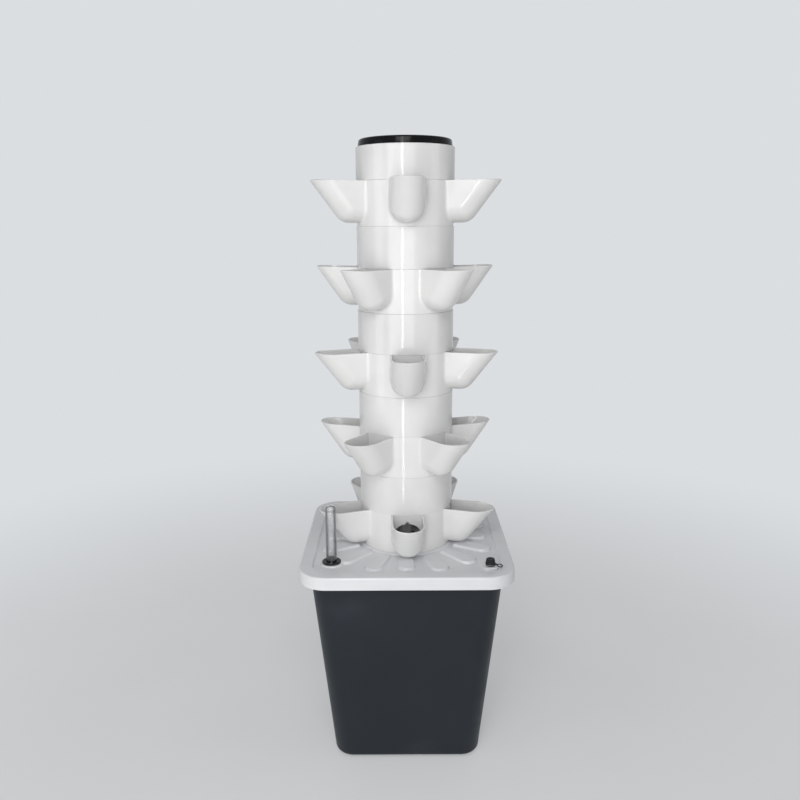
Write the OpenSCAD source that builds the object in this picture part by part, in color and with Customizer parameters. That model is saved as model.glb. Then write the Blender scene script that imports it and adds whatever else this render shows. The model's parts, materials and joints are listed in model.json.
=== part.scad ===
// Vertical planter tower: a water tank with a lid, five rings of planting pockets with
// plain spacers between them, and a small pump that lifts the water to a tray under the cap.
// Millimetres, +Z up. The tank's feet stand on z = 0 and the tower's axis is x = 0, y = 0.
// The front is -Y.

/* [Tank] */
// Width of the tank across its flats just under its lip
tank_mouth_w = 317.6; // [300:1:340]
// How much each wall of the tank leans in from its lip to its floor
tank_taper = 34.2; // [28:0.2:38]
// Height of the lip's top over the ground
tank_h = 360.5; // [350:1:390]
// Thickness of the tank's wall
tank_wall = 3; // [2:0.5:4]
// Thickness of the tank's floor
tank_floor = 3.5; // [2.5:0.5:5]
// Corner radius of the tank at its floor
tank_floor_corner = 32; // [28:1:40]
// Corner radius of the tank at its mouth
tank_mouth_corner = 36; // [30:1:44]
// Rounding of the edge between the floor and the walls
tank_edge = 9; // [6:1:14]
// Thickness of the lip that carries the lid
lip_t = 3; // [2:0.5:4]
// Height of each foot under the floor
foot_h = 3.5; // [2:0.5:6]
// Radius of each foot
foot_r = 16; // [8:1:17]
// Distance of a foot's middle from the walls beside it
foot_in = 29.6; // [29:0.2:50]

/* [Lid] */
// How far the lid stands out beyond the tank's mouth on each side
lid_reach = 16.85; // [16:0.05:20]
// Corner radius of the lid
lid_corner = 47; // [40:1:52]
// Thickness of the lid's panel and skirt
lid_wall = 2.8; // [2:0.2:3.2]
// Height of the lid's skirt
lid_skirt = 21.4; // [16:0.5:26]
// Gap between the step around the sunk panel and the tank's wall
mouth_gap = 0.75; // [0.6:0.05:1.5]
// Depth of the panel under the band
panel_drop = 4.2; // [3:0.2:5.5]
// Corner radius of the sunk panel
panel_corner = 31; // [30:1:34]
// Thickness of the step around the sunk panel, which fits in the tank's mouth
step_wall = 2; // [1.6:0.1:2.2]
// Height of the raised pads on the panel
petal_h = 2.6; // [1:0.2:3]
// Number of raised pads around the tower
petal_count = 16; // [8:1:20]
// Height of the bead around the foot of the tower
bead_h = 2.6; // [1:0.2:4]
// Width of the bead around the foot of the tower
bead_w = 5.4; // [3:0.2:7]
// Depth of the ledge that carries the drain plate under the panel
ledge_drop = 13.3; // [13:0.1:15]

/* [Tower] */
// Outer radius of the plain tubes
tube_r = 80; // [79.6:0.1:82]
// Wall of the plain tubes
tube_wall = 3.2; // [2.6:0.1:3.4]
// How far the planting rings lie inside the plain tubes' outer face
ring_inset = 1.2; // [0.8:0.1:1.6]
// Wall of the planting rings
ring_wall = 3; // [2.4:0.2:3.6]
// Height of a planting ring between its shoulders
ring_h = 69.7; // [69:0.5:76]
// Height of a plain spacer
spacer_h = 65.9; // [50:1:90]
// Height of the tube on the top ring
top_tube_h = 52.9; // [46:1:70]
// Height of the spigots above and below a ring
spigot_h = 10; // [6:0.5:10.5]
// Wall of the spigots
spigot_wall = 2.8; // [2:0.2:3]

/* [Pockets] */
// Pockets in each ring
pocket_count = 5; // [3:1:5]
// How far a pocket's tip stands out from the ring's wall
pocket_reach = 78.5; // [72:0.5:85]
// Half the width of a pocket
pocket_r = 26.6; // [25:0.2:28]
// Wall of a pocket
pocket_wall = 2.3; // [1.8:0.1:2.8]
// Slope of a pocket's front over the horizontal, in degrees
pocket_slope = 52.5; // [48:0.5:60]
// Height of a pocket's underside over the ring's lower shoulder
pocket_lift = 4.8; // [4:0.2:7]
// Width of the notch over a pocket's arch
notch_w = 5.5; // [4:0.5:8]
// Height of the notch over a pocket's arch
notch_h = 3; // [2:0.5:5]

/* [Water gauge] */
// Distance of the gauge from the left edge of the panel
gauge_in_x = 29.05; // [28:0.05:35]
// Distance of the gauge from the front edge of the panel
gauge_in_y = 42.05; // [39:0.05:47]
// Outer radius of the clear tube
gauge_r = 8.75; // [8:0.25:9.5]
// Height of the clear tube's top over the collar
gauge_h = 96.5; // [70:1:120]
// Wall of the clear tube
gauge_wall = 1.2; // [1:0.1:1.5]
// Radius of the gauge's black collar
collar_r = 15.5; // [14:0.5:17]
// Travel of the float
float_travel = 84; // [50:1:86]
// Radius of the float
float_r = 10.8; // [9:0.2:11]
// Height of the float
float_h = 35; // [25:1:45]

/* [Power socket] */
// Distance of the socket from the right edge of the panel
socket_in_x = 17.45; // [14:0.05:19]
// Distance of the socket from the front edge of the panel
socket_in_y = 21.05; // [20:0.05:26]
// Height of the square boss under the socket
boss_h = 5.2; // [4:0.2:8]
// Width of the square boss under the socket
boss_w = 24; // [22:0.5:26]
// Radius of the socket's barrel
barrel_r = 6; // [5:0.2:6.2]
// Radius of the dust cap at its foot
cap_foot_r = 8.2; // [8:0.2:9.4]
// Radius of the dust cap at its top
cap_top_r = 6.9; // [6.8:0.1:7.6]
// Height of the dust cap
cap_h = 8.6; // [8:0.2:12]

/* [Water lift] */
// Outer radius of the riser pipe
riser_r = 10; // [9:0.5:11]
// Wall of the riser pipe
riser_wall = 2; // [1.5:0.25:2.5]
// Width of the pump's housing
pump_w = 46; // [44:1:56]
// Height of the pump's housing
pump_h = 46; // [44:1:56]
// Length of the motor part of the pump's housing
pump_l = 40; // [36:1:50]
// Radius of the pump lead
lead_r = 2.6; // [2:0.2:3]

/* [Top cap] */
// Height of the cap over the top tube
cap_rise = 13.5; // [8:0.5:20]
// Wall of the cap
top_cap_wall = 2.6; // [2:0.2:3.2]

/* [Hidden] */

// Clearances and the overrun of every cut
seat_gap = 0.1;
side_gap = 0.3;
run_gap = 0.08;
over = 1;

// The hand-set turn of each ring, in degrees, from the lowest up: the pockets of one ring
// stand over the gaps of the ring below
ring_step = 180 / pocket_count;
ring_turns = [1.4, 0.9 + ring_step, 1.4, 0.9 + ring_step, 1.4];

// Heights of the tank and the lid
tank_foot_z = foot_h;
tank_inside_z = foot_h + tank_floor;
lip_z = tank_h - lip_t;
band_z = tank_h + seat_gap + lid_wall;
panel_z = band_z - panel_drop;
skirt_z = band_z - lid_skirt;
tank_floor_w = tank_mouth_w - 2 * tank_taper;
foot_at = tank_floor_w / 2 - foot_in;
lid_w = tank_mouth_w + 2 * lid_reach;
lip_w = lid_w - 2 * lid_wall - 8 * side_gap;
panel_w = tank_mouth_w - 2 * (tank_wall + mouth_gap + step_wall);
gauge_x = panel_w / 2 - gauge_in_x;
gauge_y = panel_w / 2 - gauge_in_y;
socket_x = panel_w / 2 - socket_in_x;
socket_y = panel_w / 2 - socket_in_y;
foot_overlap = tank_floor / 2;
tank_corner_steps = 32;

// Sizes shared by the rings, the tubes and what fits in them
bore_r = tube_r - tube_wall;
spigot_r = bore_r - side_gap;
spigot_in_r = spigot_r - spigot_wall;
ring_r = tube_r - ring_inset;
ring_in_r = ring_r - ring_wall;
shoulder_t = pocket_lift;
ring_pitch = ring_h + spacer_h + 2 * seat_gap;
ring_count = len(ring_turns);
stack_z = panel_z + seat_gap;
function ring_z(i) = stack_z + i * ring_pitch;
top_ring_z = ring_z(ring_count - 1);
top_tube_z = top_ring_z + ring_h + seat_gap;
top_z = top_tube_z + top_tube_h;

// The hub in the lid, its ledge and the drain plate on it
hub_wall = 3;
hub_r = bore_r + hub_wall;
ledge_t = 3;
ledge_w = 8;
ledge_r = bore_r - ledge_w;
ledge_z = panel_z - ledge_drop;
drain_t = 2.6;
drain_z = ledge_z + seat_gap;
drain_r = bore_r - side_gap;
drain_hole_r = 5;
drain_row_shares = [0.39, 0.7];
drain_row_counts = [8, 14];
drain_hub_wall = 5;
drain_hub_r = riser_r + drain_hub_wall;
drain_hub_h = 8;

// Pockets, in the ring's own frame: centre of the round bottom and the slope up to the rim.
// The flat sides lie a little inside the rounds, so that they cut them cleanly.
pocket_flat = 0.15;
pocket_tip = ring_r + pocket_reach;
pocket_in_r = pocket_r - pocket_wall;
pocket_z = pocket_lift + pocket_r;
pocket_mouth_x = pocket_tip - pocket_r / sin(pocket_slope);
pocket_x = pocket_mouth_x - (ring_h - pocket_z) / tan(pocket_slope);
pocket_root_l = 12;
pocket_root = ring_in_r - pocket_root_l;

// Raised pads on the lid
petal_gap = 5;
petal_start = hub_r + bead_w + petal_gap;
petal_angle_share = 0.56;
petal_half_angle = petal_angle_share * 180 / petal_count;
petal_margin = 14;
petal_field_w = panel_w - 2 * petal_margin;
petal_end_r = 15;

// Water gauge, down from the clear tube to the cage that guides the float
gauge_boss_edge = 2;
gauge_boss_r = collar_r + gauge_boss_edge;
gauge_boss_h = 2.5;
collar_t = 2.6;
collar_z = panel_z + gauge_boss_h + seat_gap;
collar_top_z = collar_z + collar_t;
neck_r = 11.8;
neck_l = 9;
tube_seat = 2.2;
tube_seat_z = collar_top_z - tube_seat;
guide_top_z = panel_z - lid_wall - seat_gap;
neck_z = guide_top_z - neck_l;
stem_r = 1.6;
tip_r = 6.4;
tip_h = 9.2;
tip_z = tube_seat_z + seat_gap;
float_gap = 1;
float_top_z = neck_z - float_gap - float_travel;
float_z = float_top_z - float_h;
guide_in_r = neck_r + seat_gap;
guide_wall = 1.8;
guide_r = guide_in_r + guide_wall;
guide_floor = 2.4;
guide_z = float_z - seat_gap - guide_floor;
guide_slot = 5;
guide_slots = 4;
guide_rim = 8;

// Power socket and its rubber dust cap
boss_corner = 5;
boss_z = panel_z + boss_h;
socket_top_l = 4;
tether_t = 1.2;
tether_z = boss_z + seat_gap;
tether_inset = 0.8;
tether_r = cap_foot_r - tether_inset;
flange_t = 1.4;
flange_reach = 0.8;
flange_r = barrel_r + flange_reach;
flange_z = tether_z + tether_t + seat_gap;
cap_z = flange_z + flange_t + seat_gap;
cap_edge = 1.8;
cap_bore_r = barrel_r + run_gap;
cap_bore_h = socket_top_l + side_gap;
socket_l = 24;
socket_bottom_z = panel_z - socket_l;
nut_r = 10;
nut_h = 5;
nut_z = panel_z - lid_wall - seat_gap - nut_h;
plug_hole_r = 2.8;
plug_pin_r = 1;
plug_hole_l = 8;
strap_r = 0.8;
strap_steps = 4;
strap_sides = 8;
// The strap leaves the cap's foot, loops out beside the boss and comes back to its ring.
// Its points are set from the socket's axis and the underside of the ring.
strap_points = [
    [9, -3, 3.8],
    [10.8, -6.2, 2.4],
    [13.2, -9.6, 1.5],
    [16.6, -9.8, 1.5],
    [18.6, -6.6, 1.9],
    [17.4, -3, 2.4],
    [14, -1.5, 2.4],
    [10.6, -1.2, 1.6],
    [7, -0.6, 0.9]
];

// Pump, riser and spray tray
pump_foot_h = 6;
pump_foot_r = 7;
pump_z = tank_inside_z + seat_gap + pump_foot_h;
pump_axis_z = pump_z + pump_h / 2;
pump_corner = 5;
chamber_r = 17;
chamber_l = 14;
chamber_y = chamber_l / 2;
pump_back_y = chamber_y + pump_l;
rotor_r = 8;
rotor_l = 26;
blade_r = 14;
blade_l = 8;
blade_t = 1.6;
blade_count = 6;
blade_hub_r = 5;
rotor_gap = 0.8;
shaft_r = 1.2;
shaft_seat = 3;
cover_t = 4;
intake_r = 6;
outlet_r = 6.5;
outlet_wall = 1.8;
outlet_l = 20;
outlet_z = pump_z + pump_h;
outlet_top_z = outlet_z + outlet_l;
strainer_t = 2;
strainer_l = 12;
strainer_slots = 6;
strainer_slot = 2.4;
adapter_r = 10;
adapter_grip = 16;
adapter_z = outlet_top_z - adapter_grip;
adapter_step = 4;
adapter_shoulder_z = outlet_top_z + adapter_step;
adapter_spigot = 12;
adapter_bore_r = 4.6;
tray_z = top_ring_z + ring_h + spigot_h + seat_gap;
tray_t = 2.4;
tray_rim_h = 8;
tray_wall = 2.4;
tray_r = spigot_r;
tray_row_shares = [0.42, 0.86];
tray_row_counts = [10, 30];
tray_hole_r = 1.6;
tray_hub_wall = 4;
tray_hub_r = riser_r + tray_hub_wall;
tray_hub_h = 6;
riser_z = adapter_shoulder_z + seat_gap;
riser_top_z = tray_z + tray_hub_h - side_gap;
gland_r = 4.6;
gland_l = 5;
gland_y = 30;
gland_drop = 12;
gland_z = pump_z + pump_h - gland_drop;
lead_sides = 8;
lead_steps = 7;
lead_side = [0.79, 0.61, 0];
lead_drop = 58;
// Route of the pump lead, from the pump's gland up to the socket: the points between them
// are at shares of the socket's distances, at their own heights
lead_shares = [[0.31, -0.18], [0.54, 0.09], [0.77, 0.61], [0.91, 0.89]];
lead_heights = [46, 44, 72, 170];
lead_points = concat(
    [[pump_w / 2 + gland_l, gland_y, gland_z]],
    [
        for (i = [0 : len(lead_shares) - 1])
            [lead_shares[i][0] * socket_x, -lead_shares[i][1] * socket_y, lead_heights[i]]
    ],
    [
        [socket_x, -socket_y, socket_bottom_z - lead_drop],
        [socket_x, -socket_y, socket_bottom_z - seat_gap]
    ]
);

// Top cap: a plug that stands on the tray's rim inside the top tube
top_cap_r = bore_r - side_gap;
top_cap_z = tray_z + tray_rim_h + seat_gap;
top_cap_top_z = top_z + cap_rise;
top_cap_edge = 3.4;
top_cap_dome = 1.6;
top_cap_taper = 2.6;

// Flat outlines

// A square with round corners about the origin
module rounded_square(width, corner) {
    straight = width - 2 * corner;
    square([width, straight], center = true);
    square([straight, width], center = true);
    for (x = [-1, 1], y = [-1, 1])
        translate([x * straight / 2, y * straight / 2])
            circle(r = corner, $fn = 64);
}

// A tube about the Z axis
module tube(outer_r, inner_r, height) {
    difference() {
        cylinder(r = outer_r, h = height, $fn = 96);
        translate([0, 0, -over])
            cylinder(r = inner_r, h = height + 2 * over, $fn = 96);
    }
}

// Even ring of copies around the Z axis
module around(count, start = 0) {
    for (i = [0 : count - 1])
        rotate([0, 0, start + i * 360 / count])
            children();
}

// A smooth path through hand-set points
function spline_point(a, b, c, d, t) =
    0.5 * (2 * b + (c - a) * t + (2 * a - 5 * b + 4 * c - d) * t * t
        + (3 * b - a - 3 * c + d) * t * t * t);
function smooth_path(points, steps) = [
    for (i = [0 : len(points) - 2], k = [0 : steps - 1])
        spline_point(points[max(i - 1, 0)], points[i], points[i + 1],
            points[min(i + 2, len(points) - 1)], k / steps),
    points[len(points) - 1]
];
function unit(v) = v / norm(v);

// A round tube along a path, whose rings lean on the given side vector
module swept_tube(path, radius, sides, side) {
    last = len(path) - 1;
    rings = [
        for (i = [0 : last])
            let (
                along = unit(path[min(i + 1, last)] - path[max(i - 1, 0)]),
                across = unit(cross(along, side)),
                up = cross(across, along)
            )
            for (k = [0 : sides - 1])
                path[i] + radius * (cos(k * 360 / sides) * across + sin(k * 360 / sides) * up)
    ];
    walls = [
        for (i = [0 : last - 1], k = [0 : sides - 1])
            let (
                a = i * sides + k,
                b = i * sides + (k + 1) % sides
            )
            each [[a, b, b + sides], [a, b + sides, a + sides]]
    ];
    caps = [
        for (k = [1 : sides - 2])
            each [[0, k + 1, k], [last * sides, last * sides + k, last * sides + k + 1]]
    ];
    polyhedron(points = rings, faces = concat(walls, caps), convexity = 6);
}

// Tank

// Half the tank's outer width at a height
function tank_half(z) =
    tank_floor_w / 2 + (tank_mouth_w - tank_floor_w) / 2 * (z - tank_foot_z) / (lip_z - tank_foot_z);

// The tapered body of the tank, drawn in by an inset, from a floor height up to a mouth height
module tank_form(inset, floor_z, mouth_z) {
    edge = tank_edge - inset;
    turn_z = floor_z + edge;
    floor_corner = tank_floor_corner - inset;
    mouth_corner = tank_mouth_corner - inset;
    hull()
        for (x = [-1, 1], y = [-1, 1]) {
            translate([
                x * (tank_half(turn_z) - inset - floor_corner),
                y * (tank_half(turn_z) - inset - floor_corner),
                turn_z
            ])
                rotate_extrude($fn = tank_corner_steps)
                    translate([floor_corner - edge, 0])
                        intersection() {
                            circle(r = edge, $fn = tank_corner_steps);
                            translate([-edge, -edge])
                                square([2 * edge, edge]);
                            translate([edge - floor_corner, -edge])
                                square([floor_corner, edge]);
                        }
            translate([
                x * (tank_half(mouth_z) - inset - mouth_corner),
                y * (tank_half(mouth_z) - inset - mouth_corner),
                mouth_z - seat_gap
            ])
                cylinder(r = mouth_corner, h = seat_gap, $fn = tank_corner_steps);
        }
}

module tank() {
    color("#2b3139") {
        difference() {
            union() {
                tank_form(0, tank_foot_z, tank_h);
                translate([0, 0, lip_z])
                    linear_extrude(height = lip_t)
                        rounded_square(lip_w, lid_corner - lid_wall);
            }
            tank_form(tank_wall, tank_inside_z, tank_h + over);
        }
        for (x = [-1, 1], y = [-1, 1])
            translate([x * foot_at, y * foot_at, 0])
                cylinder(r = foot_r, h = foot_h + foot_overlap, $fn = 48);
    }
}

// Lid

// Outline of one raised pad: a wedge whose sides part, with a round end
module petal(end_x) {
    start_half = petal_start * tan(petal_half_angle);
    end_half = (end_x - petal_end_r) * tan(petal_half_angle);
    polygon([
        [petal_start, -start_half],
        [end_x - petal_end_r, -end_half],
        [end_x - petal_end_r, end_half],
        [petal_start, start_half]
    ]);
    translate([end_x - petal_end_r, 0])
        intersection() {
            circle(r = end_half, $fn = 48);
            translate([-over, -end_half])
                square([petal_end_r + over, 2 * end_half]);
        }
}

// Distance from the axis to the pads' outer field in one direction, along a rounded square
function petal_reach(angle) =
    min(petal_field_w / 2 / max(abs(cos(angle)), abs(sin(angle))), petal_field_w / 2 + petal_end_r);

module lid() {
    color("#dfe1e2")
    difference() {
        union() {
            // Band and skirt
            difference() {
                translate([0, 0, skirt_z])
                    linear_extrude(height = lid_skirt)
                        rounded_square(lid_w, lid_corner);
                translate([0, 0, skirt_z - over])
                    linear_extrude(height = lid_skirt - lid_wall + over)
                        rounded_square(lid_w - 2 * lid_wall, lid_corner - lid_wall);
                translate([0, 0, skirt_z])
                    linear_extrude(height = lid_skirt + over)
                        rounded_square(panel_w, panel_corner);
            }
            // Sunk panel and the step down to it
            translate([0, 0, panel_z - lid_wall])
                linear_extrude(height = lid_wall)
                    rounded_square(panel_w + 2 * step_wall, panel_corner + step_wall);
            translate([0, 0, panel_z - lid_wall])
                linear_extrude(height = panel_drop)
                    difference() {
                        rounded_square(panel_w + 2 * step_wall, panel_corner + step_wall);
                        rounded_square(panel_w, panel_corner);
                    }
            // Raised pads
            translate([0, 0, panel_z - lid_wall / 2])
                linear_extrude(height = lid_wall / 2 + petal_h)
                    for (i = [0 : petal_count - 1])
                        let (angle = i * 360 / petal_count)
                            rotate([0, 0, angle])
                                petal(petal_reach(angle));
            // Bead around the tower, and the hub under the panel
            translate([0, 0, panel_z - lid_wall / 2])
                tube(ring_r + side_gap + bead_w, ring_r + side_gap, lid_wall / 2 + bead_h);
            translate([0, 0, ledge_z - ledge_t])
                tube(hub_r, ledge_r, panel_z - ledge_z + ledge_t - lid_wall / 2);
            // Round boss of the gauge and square boss of the socket
            translate([-gauge_x, -gauge_y, panel_z - lid_wall / 2])
                cylinder(r = gauge_boss_r, h = lid_wall / 2 + gauge_boss_h, $fn = 64);
            translate([socket_x, -socket_y, panel_z - lid_wall / 2])
                linear_extrude(height = lid_wall / 2 + boss_h)
                    rounded_square(boss_w, boss_corner);
        }
        // Mouth of the hub, down to the ledge
        translate([0, 0, ledge_z])
            cylinder(r = bore_r, h = panel_z - ledge_z + bead_h + over, $fn = 96);
        // Way through the ledge, and the holes of the gauge and the socket
        translate([0, 0, ledge_z - ledge_t - over])
            cylinder(r = ledge_r, h = ledge_t + 2 * over, $fn = 96);
        translate([-gauge_x, -gauge_y, panel_z - lid_wall - over])
            cylinder(r = neck_r + side_gap, h = lid_wall + gauge_boss_h + 2 * over, $fn = 64);
        translate([socket_x, -socket_y, panel_z - lid_wall - over])
            cylinder(r = barrel_r + seat_gap, h = lid_wall + boss_h + 2 * over, $fn = 48);
    }
}

// A plate in the mouth of the hub: it holds the riser in the middle and lets the water back
module drain_plate() {
    color("#c9cccd")
    translate([0, 0, drain_z])
        difference() {
            union() {
                cylinder(r = drain_r, h = drain_t, $fn = 96);
                cylinder(r = drain_hub_r, h = drain_hub_h, $fn = 64);
            }
            translate([0, 0, -over])
                cylinder(r = riser_r + seat_gap, h = drain_hub_h + 2 * over, $fn = 64);
            for (i = [0 : len(drain_row_shares) - 1])
                around(drain_row_counts[i])
                    translate([drain_row_shares[i] * drain_r, 0, -over])
                        cylinder(r = drain_hole_r, h = drain_t + 2 * over, $fn = 24);
        }
}

// Tower

// Wall of a planting ring with its spigots, about the axis
module ring_shell() {
    rotate_extrude($fn = 96)
        polygon([
            [spigot_in_r, -spigot_h],
            [spigot_r, -spigot_h],
            [spigot_r, 0],
            [ring_r, 0],
            [ring_r, ring_h],
            [spigot_r, ring_h],
            [spigot_r, ring_h + spigot_h],
            [spigot_in_r, ring_h + spigot_h],
            [spigot_in_r, ring_h - shoulder_t + ring_in_r - spigot_in_r],
            [ring_in_r, ring_h - shoulder_t],
            [ring_in_r, shoulder_t],
            [spigot_in_r, shoulder_t - ring_in_r + spigot_in_r]
        ]);
}

// Form of a pocket of one radius, out along +X: a round slope, a round bottom and the
// straight root towards the tower, with a straight-sided middle up to the given height
module pocket_form(radius, top) {
    reach = 2 * pocket_r;
    intersection() {
        union() {
            translate([pocket_x, 0, pocket_z])
                sphere(r = radius, $fn = 64);
            translate([pocket_x, 0, pocket_z])
                rotate([0, 90 - pocket_slope, 0])
                    cylinder(r = radius, h = ring_h + reach, $fn = 64);
            translate([pocket_root, 0, pocket_z])
                rotate([0, 90, 0])
                    cylinder(r = radius, h = pocket_x - pocket_root, $fn = 64);
            translate([0, radius - pocket_flat, 0])
                rotate([90, 0, 0])
                    linear_extrude(height = 2 * (radius - pocket_flat))
                        polygon([
                            [pocket_root, pocket_z],
                            [pocket_x, pocket_z],
                            [pocket_x + (ring_h + reach - pocket_z) / tan(pocket_slope),
                                ring_h + reach],
                            [pocket_root, ring_h + reach]
                        ]);
        }
        translate([pocket_root, -reach, 0])
            cube([pocket_tip, 2 * reach, top]);
    }
}

module planting_ring(i) {
    color("#e4e3e1")
    translate([0, 0, ring_z(i)])
        rotate([0, 0, ring_turns[i] - 90])
            difference() {
                union() {
                    ring_shell();
                    difference() {
                        around(pocket_count)
                            pocket_form(pocket_r, ring_h);
                        translate([0, 0, -over])
                            cylinder(r = ring_in_r, h = ring_h + 2 * over, $fn = 96);
                    }
                }
                // Hollows of the pockets outside the ring's wall
                difference() {
                    around(pocket_count)
                        pocket_form(pocket_in_r, ring_h + over);
                    translate([0, 0, -over])
                        cylinder(r = ring_r, h = ring_h + 3 * over, $fn = 96);
                }
                // Arches through the wall, each with its small notch
                around(pocket_count) {
                    translate([pocket_root, 0, pocket_z])
                        rotate([0, 90, 0])
                            cylinder(r = pocket_in_r, h = pocket_x - pocket_root, $fn = 64);
                    translate([pocket_root, -notch_w / 2, pocket_z])
                        cube([pocket_x - pocket_root, notch_w, pocket_in_r + notch_h]);
                }
            }
}

module planting_ring_1() { planting_ring(0); }
module planting_ring_2() { planting_ring(1); }
module planting_ring_3() { planting_ring(2); }
module planting_ring_4() { planting_ring(3); }
module planting_ring_5() { planting_ring(4); }

// A plain tube on the shoulder of ring i, counted from zero
module spacer(i) {
    color("#dcdcda")
    translate([0, 0, ring_z(i) + ring_h + seat_gap])
        tube(tube_r, bore_r, spacer_h);
}

module spacer_1() { spacer(0); }
module spacer_2() { spacer(1); }
module spacer_3() { spacer(2); }
module spacer_4() { spacer(3); }

module top_tube() {
    color("#dcdcda")
    translate([0, 0, top_tube_z])
        tube(tube_r, bore_r, top_tube_h);
}

// Tray that spreads the water over the inside of the tower
module spray_tray() {
    color("#c9cccd")
    translate([0, 0, tray_z])
        difference() {
            union() {
                cylinder(r = tray_r, h = tray_t, $fn = 96);
                tube(tray_r, tray_r - tray_wall, tray_rim_h);
                cylinder(r = tray_hub_r, h = tray_hub_h, $fn = 64);
            }
            translate([0, 0, -over])
                cylinder(r = riser_r + run_gap, h = tray_hub_h + 2 * over, $fn = 64);
            for (i = [0 : len(tray_row_shares) - 1])
                around(tray_row_counts[i])
                    translate([tray_row_shares[i] * tray_r, 0, -over])
                        cylinder(r = tray_hole_r, h = tray_t + 2 * over, $fn = 16);
        }
}

module top_cap() {
    brim_r = top_cap_r - top_cap_taper;
    inside_z = top_cap_top_z - top_cap_dome - top_cap_wall;
    color("#141416")
    rotate_extrude($fn = 96)
        polygon(concat(
            [
                [top_cap_r - top_cap_wall, top_cap_z],
                [top_cap_r, top_cap_z],
                [top_cap_r, top_z],
                [brim_r, top_cap_top_z - top_cap_dome - top_cap_edge]
            ],
            [
                for (a = [15 : 15 : 90])
                    [
                        brim_r - top_cap_edge + top_cap_edge * cos(a),
                        top_cap_top_z - top_cap_dome - top_cap_edge + top_cap_edge * sin(a)
                    ]
            ],
            [
                [brim_r / 2, top_cap_top_z - top_cap_dome / 4],
                [0, top_cap_top_z],
                [0, inside_z],
                [brim_r - top_cap_edge, inside_z],
                [top_cap_r - top_cap_wall, top_z]
            ]
        ));
}

// Water gauge

// Black collar in the lid: it seats the clear tube and guides the stem
module gauge_collar() {
    color("#17181a")
    translate([-gauge_x, -gauge_y, 0])
        difference() {
            union() {
                translate([0, 0, collar_z])
                    cylinder(r = collar_r, h = collar_t, $fn = 64);
                translate([0, 0, neck_z])
                    cylinder(r = neck_r, h = collar_z - neck_z + collar_t / 2, $fn = 64);
            }
            translate([0, 0, tube_seat_z])
                cylinder(r = gauge_r + seat_gap, h = tube_seat + over, $fn = 64);
            translate([0, 0, neck_z - over])
                cylinder(r = stem_r + run_gap, h = tube_seat_z - neck_z + 2 * over, $fn = 32);
        }
}

module gauge_tube() {
    inner_r = gauge_r - gauge_wall;
    height = gauge_h + tube_seat - seat_gap;
    color("#cfd8dc", 0.4)
    translate([-gauge_x, -gauge_y, tube_seat_z + seat_gap])
        difference() {
            union() {
                cylinder(r = gauge_r, h = height - gauge_r, $fn = 48);
                translate([0, 0, height - gauge_r])
                    sphere(r = gauge_r, $fn = 48);
            }
            translate([0, 0, -over])
                cylinder(r = inner_r, h = height - gauge_r + over, $fn = 48);
            translate([0, 0, height - gauge_r])
                sphere(r = inner_r, $fn = 48);
        }
}

// Four staves under the lid that the float rides between
module gauge_guide() {
    stave_z = guide_z + guide_floor + seat_gap / 2;
    color("#dfe1e2")
    translate([-gauge_x, -gauge_y, stave_z])
        difference() {
            cylinder(r = guide_r, h = guide_top_z - stave_z, $fn = 64);
            translate([0, 0, -over])
                cylinder(r = guide_in_r, h = guide_top_z - stave_z + 2 * over, $fn = 64);
            around(guide_slots)
                translate([0, -guide_slot / 2, -over])
                    cube([2 * guide_r, guide_slot, neck_z - stave_z - guide_rim + over]);
        }
}

// Plate on the ends of the staves, which the float rests on in an empty tank
module guide_base() {
    color("#dfe1e2")
    translate([-gauge_x, -gauge_y, guide_z])
        cylinder(r = guide_r, h = guide_floor, $fn = 64);
}

module gauge_float() {
    color("#e8e6df")
    translate([-gauge_x, -gauge_y, float_z])
        difference() {
            cylinder(r = float_r, h = float_h, $fn = 48);
            translate([0, 0, float_h / 2])
                cylinder(r = stem_r, h = float_h, $fn = 24);
        }
}

// Rod from the float up to the black tip that shows in the clear tube
module gauge_stem() {
    color("#17181a")
    translate([-gauge_x, -gauge_y, 0]) {
        translate([0, 0, float_z + float_h / 2])
            cylinder(r = stem_r, h = tip_z - float_z - float_h / 2 + tip_h / 2, $fn = 24);
        translate([0, 0, tip_z])
            cylinder(r = tip_r, h = tip_h - tip_r / 2, $fn = 48);
        translate([0, 0, tip_z])
            intersection() {
                translate([0, 0, tip_h - tip_r])
                    sphere(r = tip_r, $fn = 48);
                translate([-tip_r, -tip_r, tip_h - tip_r])
                    cube([2 * tip_r, 2 * tip_r, tip_r]);
            }
    }
}

// Power socket

module socket_body() {
    color("#8d9092")
    translate([socket_x, -socket_y, 0])
        difference() {
            union() {
                translate([0, 0, socket_bottom_z])
                    cylinder(r = barrel_r, h = cap_z + socket_top_l - socket_bottom_z, $fn = 48);
                translate([0, 0, flange_z])
                    cylinder(r = flange_r, h = flange_t, $fn = 48);
            }
            translate([0, 0, cap_z + socket_top_l - plug_hole_l])
                difference() {
                    cylinder(r = plug_hole_r, h = plug_hole_l + over, $fn = 32);
                    translate([0, 0, -over])
                        cylinder(r = plug_pin_r, h = plug_hole_l, $fn = 24);
                }
        }
}

module socket_nut() {
    color("#8d9092")
    translate([socket_x, -socket_y, nut_z])
        difference() {
            cylinder(r = nut_r, h = nut_h, $fn = 6);
            translate([0, 0, -over])
                cylinder(r = barrel_r + seat_gap, h = nut_h + 2 * over, $fn = 48);
        }
}

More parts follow.
